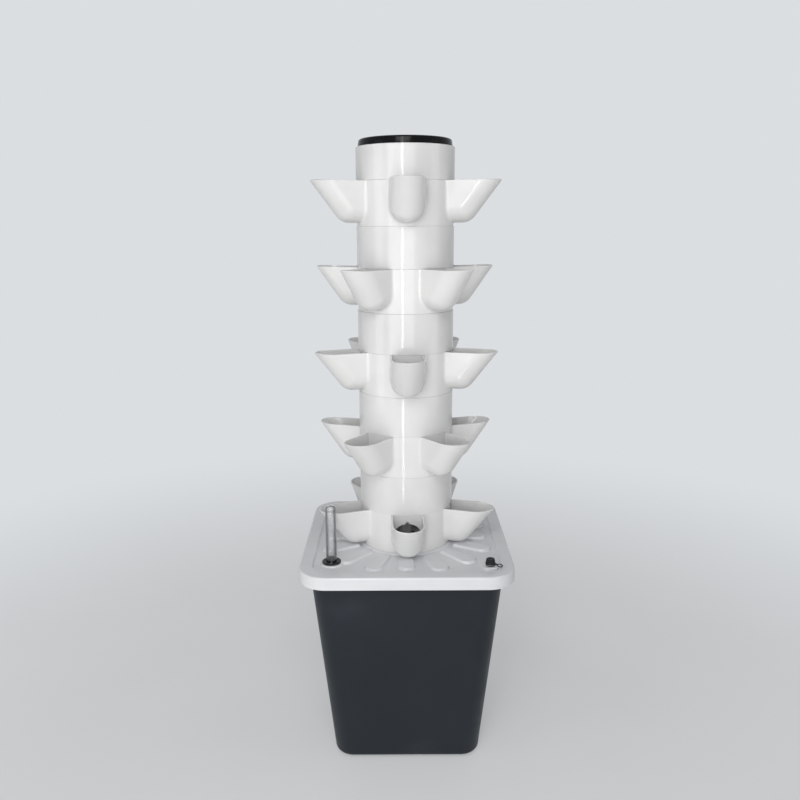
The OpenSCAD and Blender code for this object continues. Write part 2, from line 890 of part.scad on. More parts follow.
module dust_cap() {
    color("#17181a")
    translate([socket_x, -socket_y, cap_z])
        difference() {
            rotate_extrude($fn = 64)
                polygon(concat(
                    [[0, 0], [cap_foot_r, 0], [cap_foot_r, cap_edge]],
                    [
                        for (a = [0 : 15 : 90])
                            [
                                cap_top_r - cap_edge + cap_edge * cos(a),
                                cap_h - cap_edge + cap_edge * sin(a)
                            ]
                    ],
                    [[0, cap_h]]
                ));
            translate([0, 0, -over])
                cylinder(r = cap_bore_r, h = cap_bore_h + over, $fn = 48);
        }
}

// Rubber ring around the socket, and the strap that ties the cap to it
module cap_tether() {
    color("#17181a")
    translate([socket_x, -socket_y, tether_z]) {
        tube(tether_r, barrel_r + side_gap, tether_t);
        swept_tube(smooth_path(strap_points, strap_steps), strap_r, strap_sides, [0, 0, 1]);
    }
}

// Water lift

module riser_pipe() {
    color("#e8e8e6")
    translate([0, 0, riser_z])
        tube(riser_r, riser_r - riser_wall, riser_top_z - riser_z);
}

// Soft sleeve that joins the pump's outlet to the riser
module riser_adapter() {
    spigot = riser_r - riser_wall - seat_gap;
    color("#17181a")
    translate([0, 0, adapter_z])
        difference() {
            union() {
                cylinder(r = adapter_r, h = adapter_shoulder_z - adapter_z, $fn = 48);
                cylinder(r = spigot, h = adapter_shoulder_z - adapter_z + adapter_spigot, $fn = 48);
            }
            translate([0, 0, -over])
                cylinder(r = outlet_r + seat_gap, h = adapter_grip + over, $fn = 48);
            translate([0, 0, -over])
                cylinder(
                    r = adapter_bore_r,
                    h = adapter_shoulder_z - adapter_z + adapter_spigot + 2 * over,
                    $fn = 32
                );
        }
}

// Places something along the pump's level axis, pointing to the back, from a Y value
module on_pump_axis(y) {
    translate([0, y, pump_axis_z])
        rotate([-90, 0, 0])
            children();
}

module pump_housing() {
    outer = pump_w - 2 * pump_corner;
    color("#1d2024")
    difference() {
        union() {
            translate([0, 0, pump_axis_z])
                rotate([-90, 0, 0])
                    translate([0, 0, -chamber_y])
                        linear_extrude(height = chamber_l + pump_l)
                            union() {
                                square([pump_w, pump_h - 2 * pump_corner], center = true);
                                square([outer, pump_h], center = true);
                                for (x = [-1, 1], y = [-1, 1])
                                    translate([x * outer / 2, y * (pump_h / 2 - pump_corner)])
                                        circle(r = pump_corner, $fn = 32);
                            }
            translate([0, 0, outlet_z - pump_corner])
                cylinder(r = outlet_r, h = outlet_l + pump_corner, $fn = 48);
            translate([pump_w / 2 - over, gland_y, gland_z])
                rotate([0, 90, 0])
                    cylinder(r = gland_r, h = gland_l + over, $fn = 32);
        }
        on_pump_axis(-chamber_y - over)
            cylinder(r = chamber_r, h = chamber_l + over, $fn = 64);
        on_pump_axis(0)
            cylinder(r = rotor_r + rotor_gap, h = chamber_y + rotor_l + 2 * rotor_gap, $fn = 48);
        on_pump_axis(0)
            cylinder(
                r = shaft_r + seat_gap,
                h = chamber_y + rotor_l + 2 * rotor_gap + shaft_seat,
                $fn = 24
            );
        translate([0, 0, pump_axis_z])
            cylinder(r = outlet_r - outlet_wall, h = pump_h + outlet_l, $fn = 32);
    }
}

// Front plate of the pump, with the intake hole and the front seat of the shaft
module pump_cover() {
    spoke = 2 * shaft_r;
    color("#26292d")
    on_pump_axis(-chamber_y - seat_gap - cover_t)
        difference() {
            union() {
                difference() {
                    cylinder(r = chamber_r + pump_corner, h = cover_t, $fn = 64);
                    translate([0, 0, -over])
                        cylinder(r = intake_r, h = cover_t + 2 * over, $fn = 48);
                }
                translate([0, 0, cover_t / 2])
                    cube([2 * intake_r + spoke, spoke, cover_t], center = true);
                cylinder(r = 2 * shaft_r, h = cover_t, $fn = 32);
            }
            translate([0, 0, cover_t - shaft_seat])
                cylinder(r = shaft_r + seat_gap, h = shaft_seat + over, $fn = 24);
        }
}

// Slotted basket over the intake
module pump_strainer() {
    wide = 2 * (chamber_r + pump_corner);
    inside = wide - 2 * strainer_t;
    slot_pitch = inside / strainer_slots;
    color("#1d2024")
    translate([0, -chamber_y - 2 * seat_gap - cover_t - strainer_l, pump_axis_z])
        difference() {
            translate([-wide / 2, 0, -wide / 2])
                cube([wide, strainer_l, wide]);
            translate([-inside / 2, strainer_t, -inside / 2])
                cube([inside, strainer_l, inside]);
            for (i = [0 : strainer_slots - 1])
                translate([-inside / 2 + (i + 0.5) * slot_pitch - strainer_slot / 2, -over, -inside / 2])
                    cube([strainer_slot, strainer_t + 2 * over, inside]);
        }
}

// Magnet and blades, which spin on the fixed shaft
module pump_rotor() {
    blade_y = -chamber_y + rotor_gap;
    color("#5a5f66")
    difference() {
        union() {
            on_pump_axis(chamber_y + rotor_gap)
                cylinder(r = rotor_r, h = rotor_l, $fn = 48);
            on_pump_axis(blade_y)
                cylinder(r = blade_hub_r, h = 2 * chamber_y, $fn = 48);
            on_pump_axis(blade_y)
                around(blade_count)
                    translate([0, -blade_t / 2, 0])
                        cube([blade_r, blade_t, blade_l]);
        }
        on_pump_axis(-chamber_y)
            cylinder(r = shaft_r + run_gap, h = chamber_l + rotor_l + rotor_gap + over, $fn = 32);
    }
}

module pump_shaft() {
    front_y = -chamber_y - seat_gap - shaft_seat + seat_gap;
    color("#e9e9ea")
    on_pump_axis(front_y)
        cylinder(
            r = shaft_r,
            h = chamber_y - front_y + rotor_l + 2 * rotor_gap + shaft_seat - seat_gap,
            $fn = 32
        );
}

// Four rubber suction feet
module pump_feet() {
    foot_x = pump_w / 2 - pump_foot_r - over;
    waist_r = pump_foot_r / 2;
    color("#17181a")
    for (x = [-1, 1], y = [0, 1])
        translate([x * foot_x, y ? pump_back_y - pump_foot_r - over : 0, pump_z - pump_foot_h])
            union() {
                cylinder(r1 = pump_foot_r, r2 = waist_r, h = pump_foot_h / 2, $fn = 32);
                cylinder(r = waist_r, h = pump_foot_h - seat_gap / 2, $fn = 32);
            }
}

module pump_lead() {
    color("#17181a")
    swept_tube(smooth_path(lead_points, lead_steps), lead_r, lead_sides, lead_side);
}

tank();
lid();
drain_plate();
planting_ring_1();
spacer_1();
planting_ring_2();
spacer_2();
planting_ring_3();
spacer_3();
planting_ring_4();
spacer_4();
planting_ring_5();
top_tube();
spray_tray();
top_cap();
gauge_collar();
gauge_tube();
gauge_guide();
guide_base();
gauge_float();
gauge_stem();
socket_body();
socket_nut();
dust_cap();
cap_tether();
riser_pipe();
riser_adapter();
pump_housing();
pump_cover();
pump_strainer();
pump_rotor();
pump_shaft();
pump_feet();
pump_lead();
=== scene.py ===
# Vertical planter tower: the looks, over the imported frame. Metres, +Z up, the front is -Y.
import json
from math import asin, copysign, cos, hypot, pi, radians, sin, sqrt, tan

import bpy
from mathutils import Matrix, Vector


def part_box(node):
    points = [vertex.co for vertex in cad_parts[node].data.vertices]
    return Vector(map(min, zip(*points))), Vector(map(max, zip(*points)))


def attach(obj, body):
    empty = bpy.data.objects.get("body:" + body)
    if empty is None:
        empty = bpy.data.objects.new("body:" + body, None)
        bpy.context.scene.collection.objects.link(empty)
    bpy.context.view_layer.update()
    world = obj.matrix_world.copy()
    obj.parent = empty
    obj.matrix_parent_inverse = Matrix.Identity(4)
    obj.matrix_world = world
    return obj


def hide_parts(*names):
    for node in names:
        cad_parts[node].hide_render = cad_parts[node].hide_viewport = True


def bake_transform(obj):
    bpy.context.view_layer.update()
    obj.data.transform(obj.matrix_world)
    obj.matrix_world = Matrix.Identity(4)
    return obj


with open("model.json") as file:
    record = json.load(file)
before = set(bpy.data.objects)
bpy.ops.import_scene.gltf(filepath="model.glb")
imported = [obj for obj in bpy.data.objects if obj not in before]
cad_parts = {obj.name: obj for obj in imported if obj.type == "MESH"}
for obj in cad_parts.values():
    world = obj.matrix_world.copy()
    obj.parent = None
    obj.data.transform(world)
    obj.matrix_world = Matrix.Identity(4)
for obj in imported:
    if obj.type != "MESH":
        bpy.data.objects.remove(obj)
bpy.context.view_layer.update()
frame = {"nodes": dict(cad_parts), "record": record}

mm = 0.001
sameSpot = 0.005 * mm  # points nearer than this are one
slightRound, smallRound = mm / 3, mm / 2  # for edges that no mould leaves sharp


# Helpers for meshes


def primitive(operator, name, **settings):
    deselect()
    operator(**settings)
    bpy.context.object.name = name
    return bpy.context.object


def metres(sizes, *names):
    return [sizes[name] * mm for name in names]


def deselect():
    if bpy.context.object and bpy.context.object.mode != "OBJECT":
        bpy.ops.object.mode_set(mode="OBJECT")
    bpy.ops.object.select_all(action="DESELECT")


def choose(*pieces):
    deselect()
    for piece in pieces:
        piece.select_set(True)
    bpy.context.view_layer.objects.active = pieces[0]


def edit(piece):
    choose(piece)
    bpy.ops.object.mode_set(mode="EDIT")
    bpy.ops.mesh.select_all(action="SELECT")


def leaveEdit():
    bpy.ops.object.mode_set(mode="OBJECT")


def placeInMesh(piece):
    choose(piece)
    bpy.ops.object.transform_apply(location=True, rotation=True, scale=True)


def faceOutwards(piece):
    edit(piece)
    bpy.ops.mesh.normals_make_consistent(inside=False)
    leaveEdit()


def modify(piece, kind, **settings):
    modifier = piece.modifiers.new(kind.lower(), kind)
    for name, value in settings.items():
        setattr(modifier, name, value)
    choose(piece)
    bpy.ops.object.modifier_apply(modifier=modifier.name)


def smooth(piece, degrees=35):
    # Large faces lead the normals, so that a wall stays straight beside its softened edge
    choose(piece)
    bpy.ops.object.shade_smooth_by_angle(angle=radians(degrees), keep_sharp_edges=True)
    modify(piece, "WEIGHTED_NORMAL", keep_sharp=True)


def label(piece, name):
    piece.name = name
    piece.data.name = name


def join(name, *pieces):
    choose(*pieces)
    if len(pieces) > 1:
        bpy.ops.object.join()
    label(pieces[0], name)
    return pieces[0]


def copyPiece(piece, name, matrix):
    made = piece.copy()
    made.data = piece.data.copy()
    label(made, name)
    made.data.transform(matrix)
    bpy.context.collection.objects.link(made)
    return made


def remove(*pieces):
    for piece in pieces:
        bpy.data.objects.remove(piece, do_unlink=True)


def ease(t):
    t = min(max(t, 0), 1)
    return t * t * (3 - 2 * t)


def mix(a, b, t):
    return a + (b - a) * t


def arc(centre, height, rx, rz, start, end, steps):
    # Points of an elliptic arc in a profile, angles in degrees
    points = []
    for i in range(steps + 1):
        a = radians(mix(start, end, i / steps))
        points.append((centre + rx * cos(a), height + rz * sin(a)))
    return points


def quarterTurn(steps):
    # The (cosine, sine) of even turns from 0 to 90 degrees
    return [(cos(a), sin(a)) for a in (pi / 2 * t / steps for t in range(steps + 1))]


def ringProfile(outer, inner, low, high, edge):
    # Closed profile of a tube whose rims are eased by a small radius
    return [
        (inner, low + edge), (inner + edge, low), (outer - edge, low),
        (outer - edge / 3, low + edge / 3), (outer, low + edge), (outer, high - edge),
        (outer - edge / 3, high - edge / 3), (outer - edge, high), (inner + edge, high),
        (inner, high - edge), (inner, low + edge),
    ]


def turned(name, profile, steps, at=(0, 0, 0)):
    # A lathe turns the profile of (radius, height) points about the Z axis
    piece = primitive(bpy.ops.mesh.primitive_plane_add, name, size=mm)
    edit(piece)
    bpy.ops.mesh.merge(type="CENTER")
    bpy.ops.transform.translate(value=(profile[0][0], 0, profile[0][1]))
    for (r0, z0), (r1, z1) in zip(profile, profile[1:]):
        move = {"value": (r1 - r0, 0, z1 - z0)}
        bpy.ops.mesh.extrude_vertices_move(TRANSFORM_OT_translate=move)
    bpy.ops.mesh.select_all(action="SELECT")
    bpy.ops.mesh.spin(steps=steps, angle=2 * pi, center=(0, 0, 0), axis=(0, 0, 1))
    bpy.ops.mesh.select_all(action="SELECT")
    bpy.ops.mesh.remove_doubles(threshold=sameSpot)
    bpy.ops.mesh.normals_make_consistent(inside=False)
    leaveEdit()
    label(piece, name)
    piece.location = at
    placeInMesh(piece)
    smooth(piece)
    return piece


def mappedGrid(name, columns, rows, place):
    # A grid primitive whose points are placed by a formula of (u, v), each from 0 to 1
    grid = primitive(bpy.ops.mesh.primitive_grid_add, name, x_subdivisions=columns,
                     y_subdivisions=rows, size=1)
    for vertex in grid.data.vertices:
        vertex.co = place(vertex.co.x + 0.5, vertex.co.y + 0.5)
    return grid


def weld(piece, gap):
    edit(piece)
    bpy.ops.mesh.remove_doubles(threshold=gap)
    leaveEdit()


def loft(name, sections):
    # A skin through outlines; each section is a list of points of the same count
    count, last = len(sections[0]), len(sections) - 1

    def place(u, v):
        return Vector(sections[round(v * last)][round(u * count) % count])

    skin = mappedGrid(name, count, last, place)
    weld(skin, sameSpot)
    return skin


def cut(piece, cutter):
    modify(piece, "BOOLEAN", operation="DIFFERENCE", solver="EXACT", object=cutter)
    remove(cutter)


def add(piece, part):
    modify(piece, "BOOLEAN", operation="UNION", solver="EXACT", object=part)
    remove(part)


def roundBar(name, radius, start, end, sides):
    # A plain bar between two points, used as a cutter
    start, end = Vector(start), Vector(end)
    bar = primitive(bpy.ops.mesh.primitive_cylinder_add, name, vertices=sides, radius=radius,
                    depth=(end - start).length)
    bar.rotation_euler = (end - start).to_track_quat("Z", "Y").to_euler()
    bar.location = (start + end) / 2
    placeInMesh(bar)
    return bar


def block(name, low, high):
    low, high = Vector(low), Vector(high)
    made = primitive(bpy.ops.mesh.primitive_cube_add, name, size=1, location=(low + high) / 2)
    made.scale = high - low
    placeInMesh(made)
    return made


# Helpers for materials


def linear(hexColour):
    channels = [int(hexColour[i:i + 2], 16) / 255 for i in (1, 3, 5)]
    return [c / 12.92 if c <= 0.04045 else ((c + 0.055) / 1.055) ** 2.4 for c in channels] + [1.0]


def addNode(tree, kind, settings={}, links={}):
    made = tree.nodes.new(kind)
    for name, value in settings.items():
        if isinstance(name, int) or name in made.inputs:
            made.inputs[name].default_value = value
        else:
            setattr(made, name, value)
    for name, socket in links.items():
        tree.links.new(socket, made.inputs[name])
    return made


def perMetre(millimetres):
    # Pattern scale for features of a real size, on Object coordinates
    return 1 / (millimetres * mm)


class Look:
    # A Principled material in the making, with its patterns on Object coordinates
    def __init__(self, name, **sockets):
        self.material = bpy.data.materials.new(name)
        self.material.use_nodes = True
        self.tree = self.material.node_tree
        self.shader = self.tree.nodes["Principled BSDF"]
        for socket, value in sockets.items():
            self.shader.inputs[socket.replace("_", " ")].default_value = value
        self.where = self.node("ShaderNodeTexCoord").outputs["Object"]

    def node(self, kind, settings={}, links={}):
        return addNode(self.tree, kind, settings, links)

    def pattern(self, size, detail, stretch=(1, 1, 1)):
        # Noise with features of a real size in millimetres, on coordinates that can be stretched
        spot = self.node("ShaderNodeMapping", {"Scale": stretch}, {"Vector": self.where})
        return self.node("ShaderNodeTexNoise", {"Scale": perMetre(size), "Detail": detail},
                         {"Vector": spot.outputs[0]}).outputs["Fac"]

    def made(self, tone, rough, relief=None):
        # Each begins with its driver, a socket or a pattern's measures. Then come the (place,
        # hex) stops, the least and most roughness, or the relief's strength and millimetres
        def driver(source):
            return self.pattern(*source) if isinstance(source, tuple) else source

        ramp = self.node("ShaderNodeValToRGB", {}, {"Fac": driver(tone[0])})
        elements = ramp.color_ramp.elements
        for element, (place, shade) in ((elements[0], tone[1]), (elements[1], tone[-1])):
            element.position = place
            element.color = linear(shade)
        for place, shade in tone[2:-1]:
            elements.new(place).color = linear(shade)
        limits = {"From Min": 0.3, "From Max": 0.7, "To Min": rough[1], "To Max": rough[2]}
        ranged = self.node("ShaderNodeMapRange", limits, {"Value": driver(rough[0])})
        driven = {"Base Color": ramp.outputs["Color"], "Roughness": ranged.outputs["Result"]}
        if relief:
            heights = {"Strength": relief[1], "Distance": relief[2] * mm}
            bump = self.node("ShaderNodeBump", heights, {"Height": driver(relief[0])})
            driven["Normal"] = bump.outputs["Normal"]
        for name, socket in driven.items():
            self.tree.links.new(socket, self.shader.inputs[name])
        return self.material


# Finishes


def mouldedWhiteAbs(name, light, shade, gloss=(0.07, 0.15), draw=(1, 1, 1), mirror=0.5):
    # Injection-moulded gloss ABS: a near-mirror skin over a white body, with the faint
    # waviness of the mould and fine rubs from handling that dull the gloss in places
    return Look(name, IOR=1.53, Specular_IOR_Level=mirror).made(
        ((90, 3), (0.35, shade), (0.65, light)), ((7, 6, draw), *gloss),
        ((14, 1, draw), 0.06, 0.25))


def tankPolypropylene():
    # Blow-moulded dark polypropylene: satin, with a fine grain and soft waves in its walls,
    # and paler scuffs low down where it is slid over the ground
    look = Look("tankPolypropylene", IOR=1.49, Specular_IOR_Level=0.3)
    height = look.node("ShaderNodeSeparateXYZ", {}, {"Vector": look.where}).outputs["Z"]
    fade = {"From Min": 0.0, "From Max": 0.05, "To Min": 0.22, "To Max": 0.0}
    low = look.node("ShaderNodeMapRange", fade, {"Value": height}).outputs["Result"]
    scuffs = look.node("ShaderNodeMath", {"operation": "MULTIPLY"},
                       {0: low, 1: look.pattern(5, 8, (1, 1, 3))}).outputs[0]
    both = look.node("ShaderNodeMath", {"operation": "ADD"},
                     {0: look.pattern(160, 2), 1: scuffs}).outputs[0]
    return look.made((both, (0.3, "#1C2228"), (0.62, "#20262D"), (0.85, "#2F353C")),
                     ((20, 5), 0.36, 0.48), ((0.9, 2), 0.12, 0.12))


def satinBlack(name, light, shade, grain, low, high):
    # Moulded black plastic or rubber: the grain and the roughness tell the two apart
    return Look(name, IOR=1.5, Specular_IOR_Level=0.3).made(
        ((9, 5), (0.35, shade), (0.68, light)), ((4, 4), low, high), ((grain, 3), 0.2, 0.1))


def clearAcrylic():
    # Drawn acrylic tube: water-clear under a polished skin that mirrors the room, with painted
    # shade where the eye looks along its wall, and the faint draw lines of the extruder
    look = Look("clearAcrylic", IOR=1.49, Transmission_Weight=1.0, Coat_Weight=0.6, Coat_IOR=1.7,
                Coat_Roughness=0.03)
    # Painted shade: the colour goes from white face-on to near black where the wall is seen edge-on
    edge = look.node("ShaderNodeLayerWeight", {"Blend": 0.5}).outputs["Facing"]
    tone = (edge, (0.12, "#FFFFFF"), (0.3, "#B9BCBE"), (0.48, "#55585B"), (0.75, "#121315"))
    return look.made(tone, ((3, 3, (1, 1, 0.05)), 0.0, 0.02))


def floatFoam():
    # Closed-cell foam of the float: matt, with fine open cells on its skin
    look = Look("floatFoam", IOR=1.45)
    cells = look.node("ShaderNodeTexVoronoi", {"Scale": perMetre(0.9)},
                      {"Vector": look.where}).outputs["Distance"]
    return look.made((cells, (0.1, "#D2CEC2"), (0.6, "#E8E5DA")), ((3, 4), 0.7, 0.9),
                     (cells, 0.4, 0.2))


def drawnMetal(name, light, shade, low, high, stretch):
    # Plated or ground metal: the fine lines run round the part or along it
    return Look(name, Metallic=1.0).made(
        ((4, 5), (0.35, shade), (0.68, light)), ((0.4, 4, stretch), low, high),
        ((0.5, 3, stretch), 0.12, 0.03))


alongPipe = (1, 1, 0.12)  # draw lines of an extruded pipe, stretched along Z
finishes = {
    "tank_slate": tankPolypropylene(),
    "lid_white": mouldedWhiteAbs("lidAbs", "#E1E2E4", "#DADBDE", (0.16, 0.26), mirror=0.3),
    "ring_white": mouldedWhiteAbs("ringAbs", "#E4E4E3", "#DDDDDC"),
    "tube_white": mouldedWhiteAbs("tubeAbs", "#E1E1E0", "#D9D9D8", draw=alongPipe),
    # Gloss black ABS: it mirrors the lamps, under a film of fine dust
    "cap_black": Look("glossBlackAbs", IOR=1.53, Specular_IOR_Level=0.12).made(
        ((1.6, 9), (0.45, "#070809"), (0.62, "#0B0C0D"), (0.8, "#17191B")),
        ((5, 7), 0.09, 0.22), ((18, 1), 0.05, 0.2)),
    # Natural white polypropylene of the inner parts: milky and matt
    "inner_white": Look("innerPolypropylene", IOR=1.49).made(
        ((25, 4), (0.35, "#CFD1CF"), (0.68, "#DCDEDB")), ((6, 4), 0.42, 0.58),
        ((1.2, 2), 0.12, 0.08)),
    "trim_black": satinBlack("collarAbs", "#1C1D20", "#121315", 1.0, 0.22, 0.36),
    "clear_tube": clearAcrylic(),
    "rubber_black": satinBlack("mouldedRubber", "#18191B", "#101112", 0.7, 0.5, 0.7),
    "socket_metal": drawnMetal("nickelPlate", "#C9CACB", "#A9ABAD", 0.16, 0.3, (1, 1, 8)),
    "float_white": floatFoam(),
    "pipe_white": mouldedWhiteAbs("riserPvc", "#E4E4E2", "#DADAD7", (0.2, 0.3), alongPipe),
    "pump_black": satinBlack("pumpAbs", "#22252A", "#181A1E", 1.4, 0.3, 0.45),
    # Moulded ferrite magnet: dark grey, dense and slightly granular
    "magnet_grey": Look("ferrite", IOR=1.6).made(
        ((1.5, 8), (0.35, "#3B3E43"), (0.7, "#565A60")), ((2, 5), 0.4, 0.6),
        ((0.8, 5), 0.25, 0.08)),
    "shaft_steel": drawnMetal("groundSteel", "#D2D3D4", "#B5B7B9", 0.12, 0.25, (1, 8, 1)),
}
slotOf = {entry["node"]: entry["material_slot"] for entry in frame["record"]["subparts"]}


def finish(piece, slot):
    piece.data.materials.clear()
    piece.data.materials.append(finishes[slot])


def standIn(piece, body, node):
    # The piece takes the place of a CAD node, rides on its body and takes its finish
    finish(piece, slotOf[node])
    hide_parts(node)
    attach(piece, body)


for nodeName, nodeObject in frame["nodes"].items():
    for materialSlot in nodeObject.material_slots:
        materialSlot.material = finishes[slotOf[nodeName]]
print("finishes ready")


# Camera, floor and light

cameraView = {
    "sensor": 36,  # square frame
    "lens": 34.77,
    "place": (-0.00999, -1.29753, 0.90247),
    "tiltDegrees": 12.683,
    "rollDegrees": -0.2547,
    "nearest": 0.02,
}
studio = {
    "floorRadius": 7.0,
    "floorSides": 96,
    "floorColour": "#F1F1EF",
    "floorShade": "#EDEDEB",
    "backdrop": "#DBDEE1",
    "fadeFrom": 0.3,  # where the floor starts to run out into the backdrop
    "fadeTo": 1.9,
    "paperGlow": 0.4,
    "skyColour": "#F2F3F5",
    "skyStrength": 0.3,
    # name: place, aimed at, width, height, power in watts, degrees over which it spreads
    "lamps": {
        "keySoftbox": ((-0.45, -2.6, 0.75), (0, 0, 0.45), 3.0, 1.4, 24.5, 180),
        "topSoftbox": ((-0.1, -1.15, 1.45), (0, -0.2, 0.36), 0.7, 0.4, 4.6, 180),
        "leftSoftbox": ((-2.1, -1.0, 0.8), (0, 0, 0.5), 0.9, 1.5, 4.5, 180),
        "rightSoftbox": ((2.2, -0.7, 0.8), (0, 0, 0.5), 0.8, 1.5, 2.6, 180),
        "backSoftbox": ((0.1, 2.9, 0.75), (0, 0, 1.0), 2.6, 0.6, 9, 130),
        "frontStrip": ((-0.125, -1.05, 0.76), (0, 0, 0.7), 0.012, 1.36, 1.5, 140),
    },
}


def addCamera():
    data = bpy.data.cameras.new("camera")
    data.lens = cameraView["lens"]
    data.sensor_width = cameraView["sensor"]
    data.sensor_fit = "HORIZONTAL"
    data.clip_start = cameraView["nearest"]
    camera = bpy.data.objects.new("camera", data)
    bpy.context.collection.objects.link(camera)
    tilt = Matrix.Rotation(radians(90 - cameraView["tiltDegrees"]), 4, "X")
    roll = Matrix.Rotation(radians(cameraView["rollDegrees"]), 4, "Z")
    camera.matrix_world = Matrix.Translation(cameraView["place"]) @ tilt @ roll
    bpy.context.scene.camera = camera


def seenDirectly(tree):
    # 1 for what the camera sees straight, mirrored or through glass
    rays = addNode(tree, "ShaderNodeLightPath").outputs
    most = rays["Is Camera Ray"]
    for name in ("Is Transmission Ray", "Is Glossy Ray"):
        most = addNode(tree, "ShaderNodeMath", {"operation": "MAXIMUM"},
                       {0: most, 1: rays[name]}).outputs[0]
    return most


def stagePaper():
    # Pale matt paper that runs out into the backdrop's colour away from the object
    look = Look("stagePaper", Specular_IOR_Level=0.15)
    paper = look.made(((400, 2), (0.4, studio["floorShade"]), (0.6, studio["floorColour"])),
                      ((60, 3), 0.8, 0.92))
    distance = look.node("ShaderNodeVectorMath", {"operation": "LENGTH"}, {0: look.where})
    fade = look.node("ShaderNodeMapRange",
                     {"interpolation_type": "SMOOTHSTEP", "From Min": studio["fadeFrom"],
                      "From Max": studio["fadeTo"], "To Min": studio["paperGlow"]},
                     {"Value": distance.outputs["Value"]})
    shown = look.node("ShaderNodeMath", {"operation": "MULTIPLY"},
                      {0: fade.outputs["Result"], 1: seenDirectly(look.tree)})
    backdrop = look.node("ShaderNodeEmission",
                         {"Color": linear(studio["backdrop"]), "Strength": 1.0})
    either = look.node("ShaderNodeMixShader", {},
                       {0: shown.outputs[0], 1: look.shader.outputs[0], 2: backdrop.outputs[0]})
    surface = look.tree.nodes["Material Output"].inputs["Surface"]
    look.tree.links.new(either.outputs[0], surface)
    return paper


def addFloor():
    floor = primitive(bpy.ops.mesh.primitive_circle_add, "floor", vertices=studio["floorSides"],
                      radius=studio["floorRadius"], fill_type="NGON")
    floor.data.materials.append(stagePaper())


def addSky():
    world = bpy.data.worlds.new("studioSky")
    bpy.context.scene.world = world
    world.use_nodes = True
    tree = world.node_tree
    tree.nodes.clear()
    light = addNode(tree, "ShaderNodeBackground",
                    {"Color": linear(studio["skyColour"]), "Strength": studio["skyStrength"]})
    pale = addNode(tree, "ShaderNodeBackground",
                   {"Color": linear(studio["backdrop"]), "Strength": 1.0})
    either = addNode(tree, "ShaderNodeMixShader", {},
                     {0: seenDirectly(tree), 1: light.outputs[0], 2: pale.outputs[0]})
    addNode(tree, "ShaderNodeOutputWorld", {}, {"Surface": either.outputs[0]})


def addLamps():
    for name, (place, target, width, height, power, spreadDegrees) in studio["lamps"].items():
        lamp = bpy.data.lights.new(name, "AREA")
        lamp.shape = "RECTANGLE"
        lamp.size = width
        lamp.size_y = height
        lamp.energy = power
        lamp.spread = radians(spreadDegrees)
        holder = bpy.data.objects.new(name, lamp)
        bpy.context.collection.objects.link(holder)
        holder.location = place
        aim = Vector(target) - Vector(place)
        holder.rotation_euler = aim.to_track_quat("-Z", "Y").to_euler()
        holder.visible_camera = False
        # The back lamp only fills: its reflection would draw a white rim round the column
        holder.visible_glossy = name != "backSoftbox"


addCamera()
addFloor()
addSky()
addLamps()
bpy.context.scene.view_settings.view_transform = "Standard"
print("camera, floor and light ready")


# Planting rings

ringSizes = {
    "radius": 78.8,
    "wall": 2.4,
    "spigotRadius": 76.5, "spigotInner": 73.7, "spigotHeight": 10.0, "spigotEdge": 0.4,
    "height": 69.7,
    "liningGap": 0.2,  # the lining wall lies this far behind the skin
    "liningWall": 3.0,
    "turnsDegrees": (1.4, 36.9, 1.4, 36.9, 1.4),
    "steps": 160,
}
pocketSizes = {
    "count": 5,
    "tip": 157.3,
    "halfWidth": 26.6,
    "slopeDegrees": 52.5,
    "lift": 4.8,
    "filletAtRim": 3.2, "filletOnSide": 4.6, "filletBelow": 3.0, "filletGrowsOver": 22.0,
    "rimEdge": 0.55, "rimSegments": 3,
    "notchWidth": 5.5, "notchHeight": 3.0,
    "archFrom": 60.0, "archTo": 95.0, "archSides": 64,
    "roundSteps": 48,
    "levelSteps": 6,
    "bendSteps": 10,
    "slopeSteps": 20,
    "filletSteps": 7,
    "wallSteps": 9,
    "weldGap": 0.02,
}


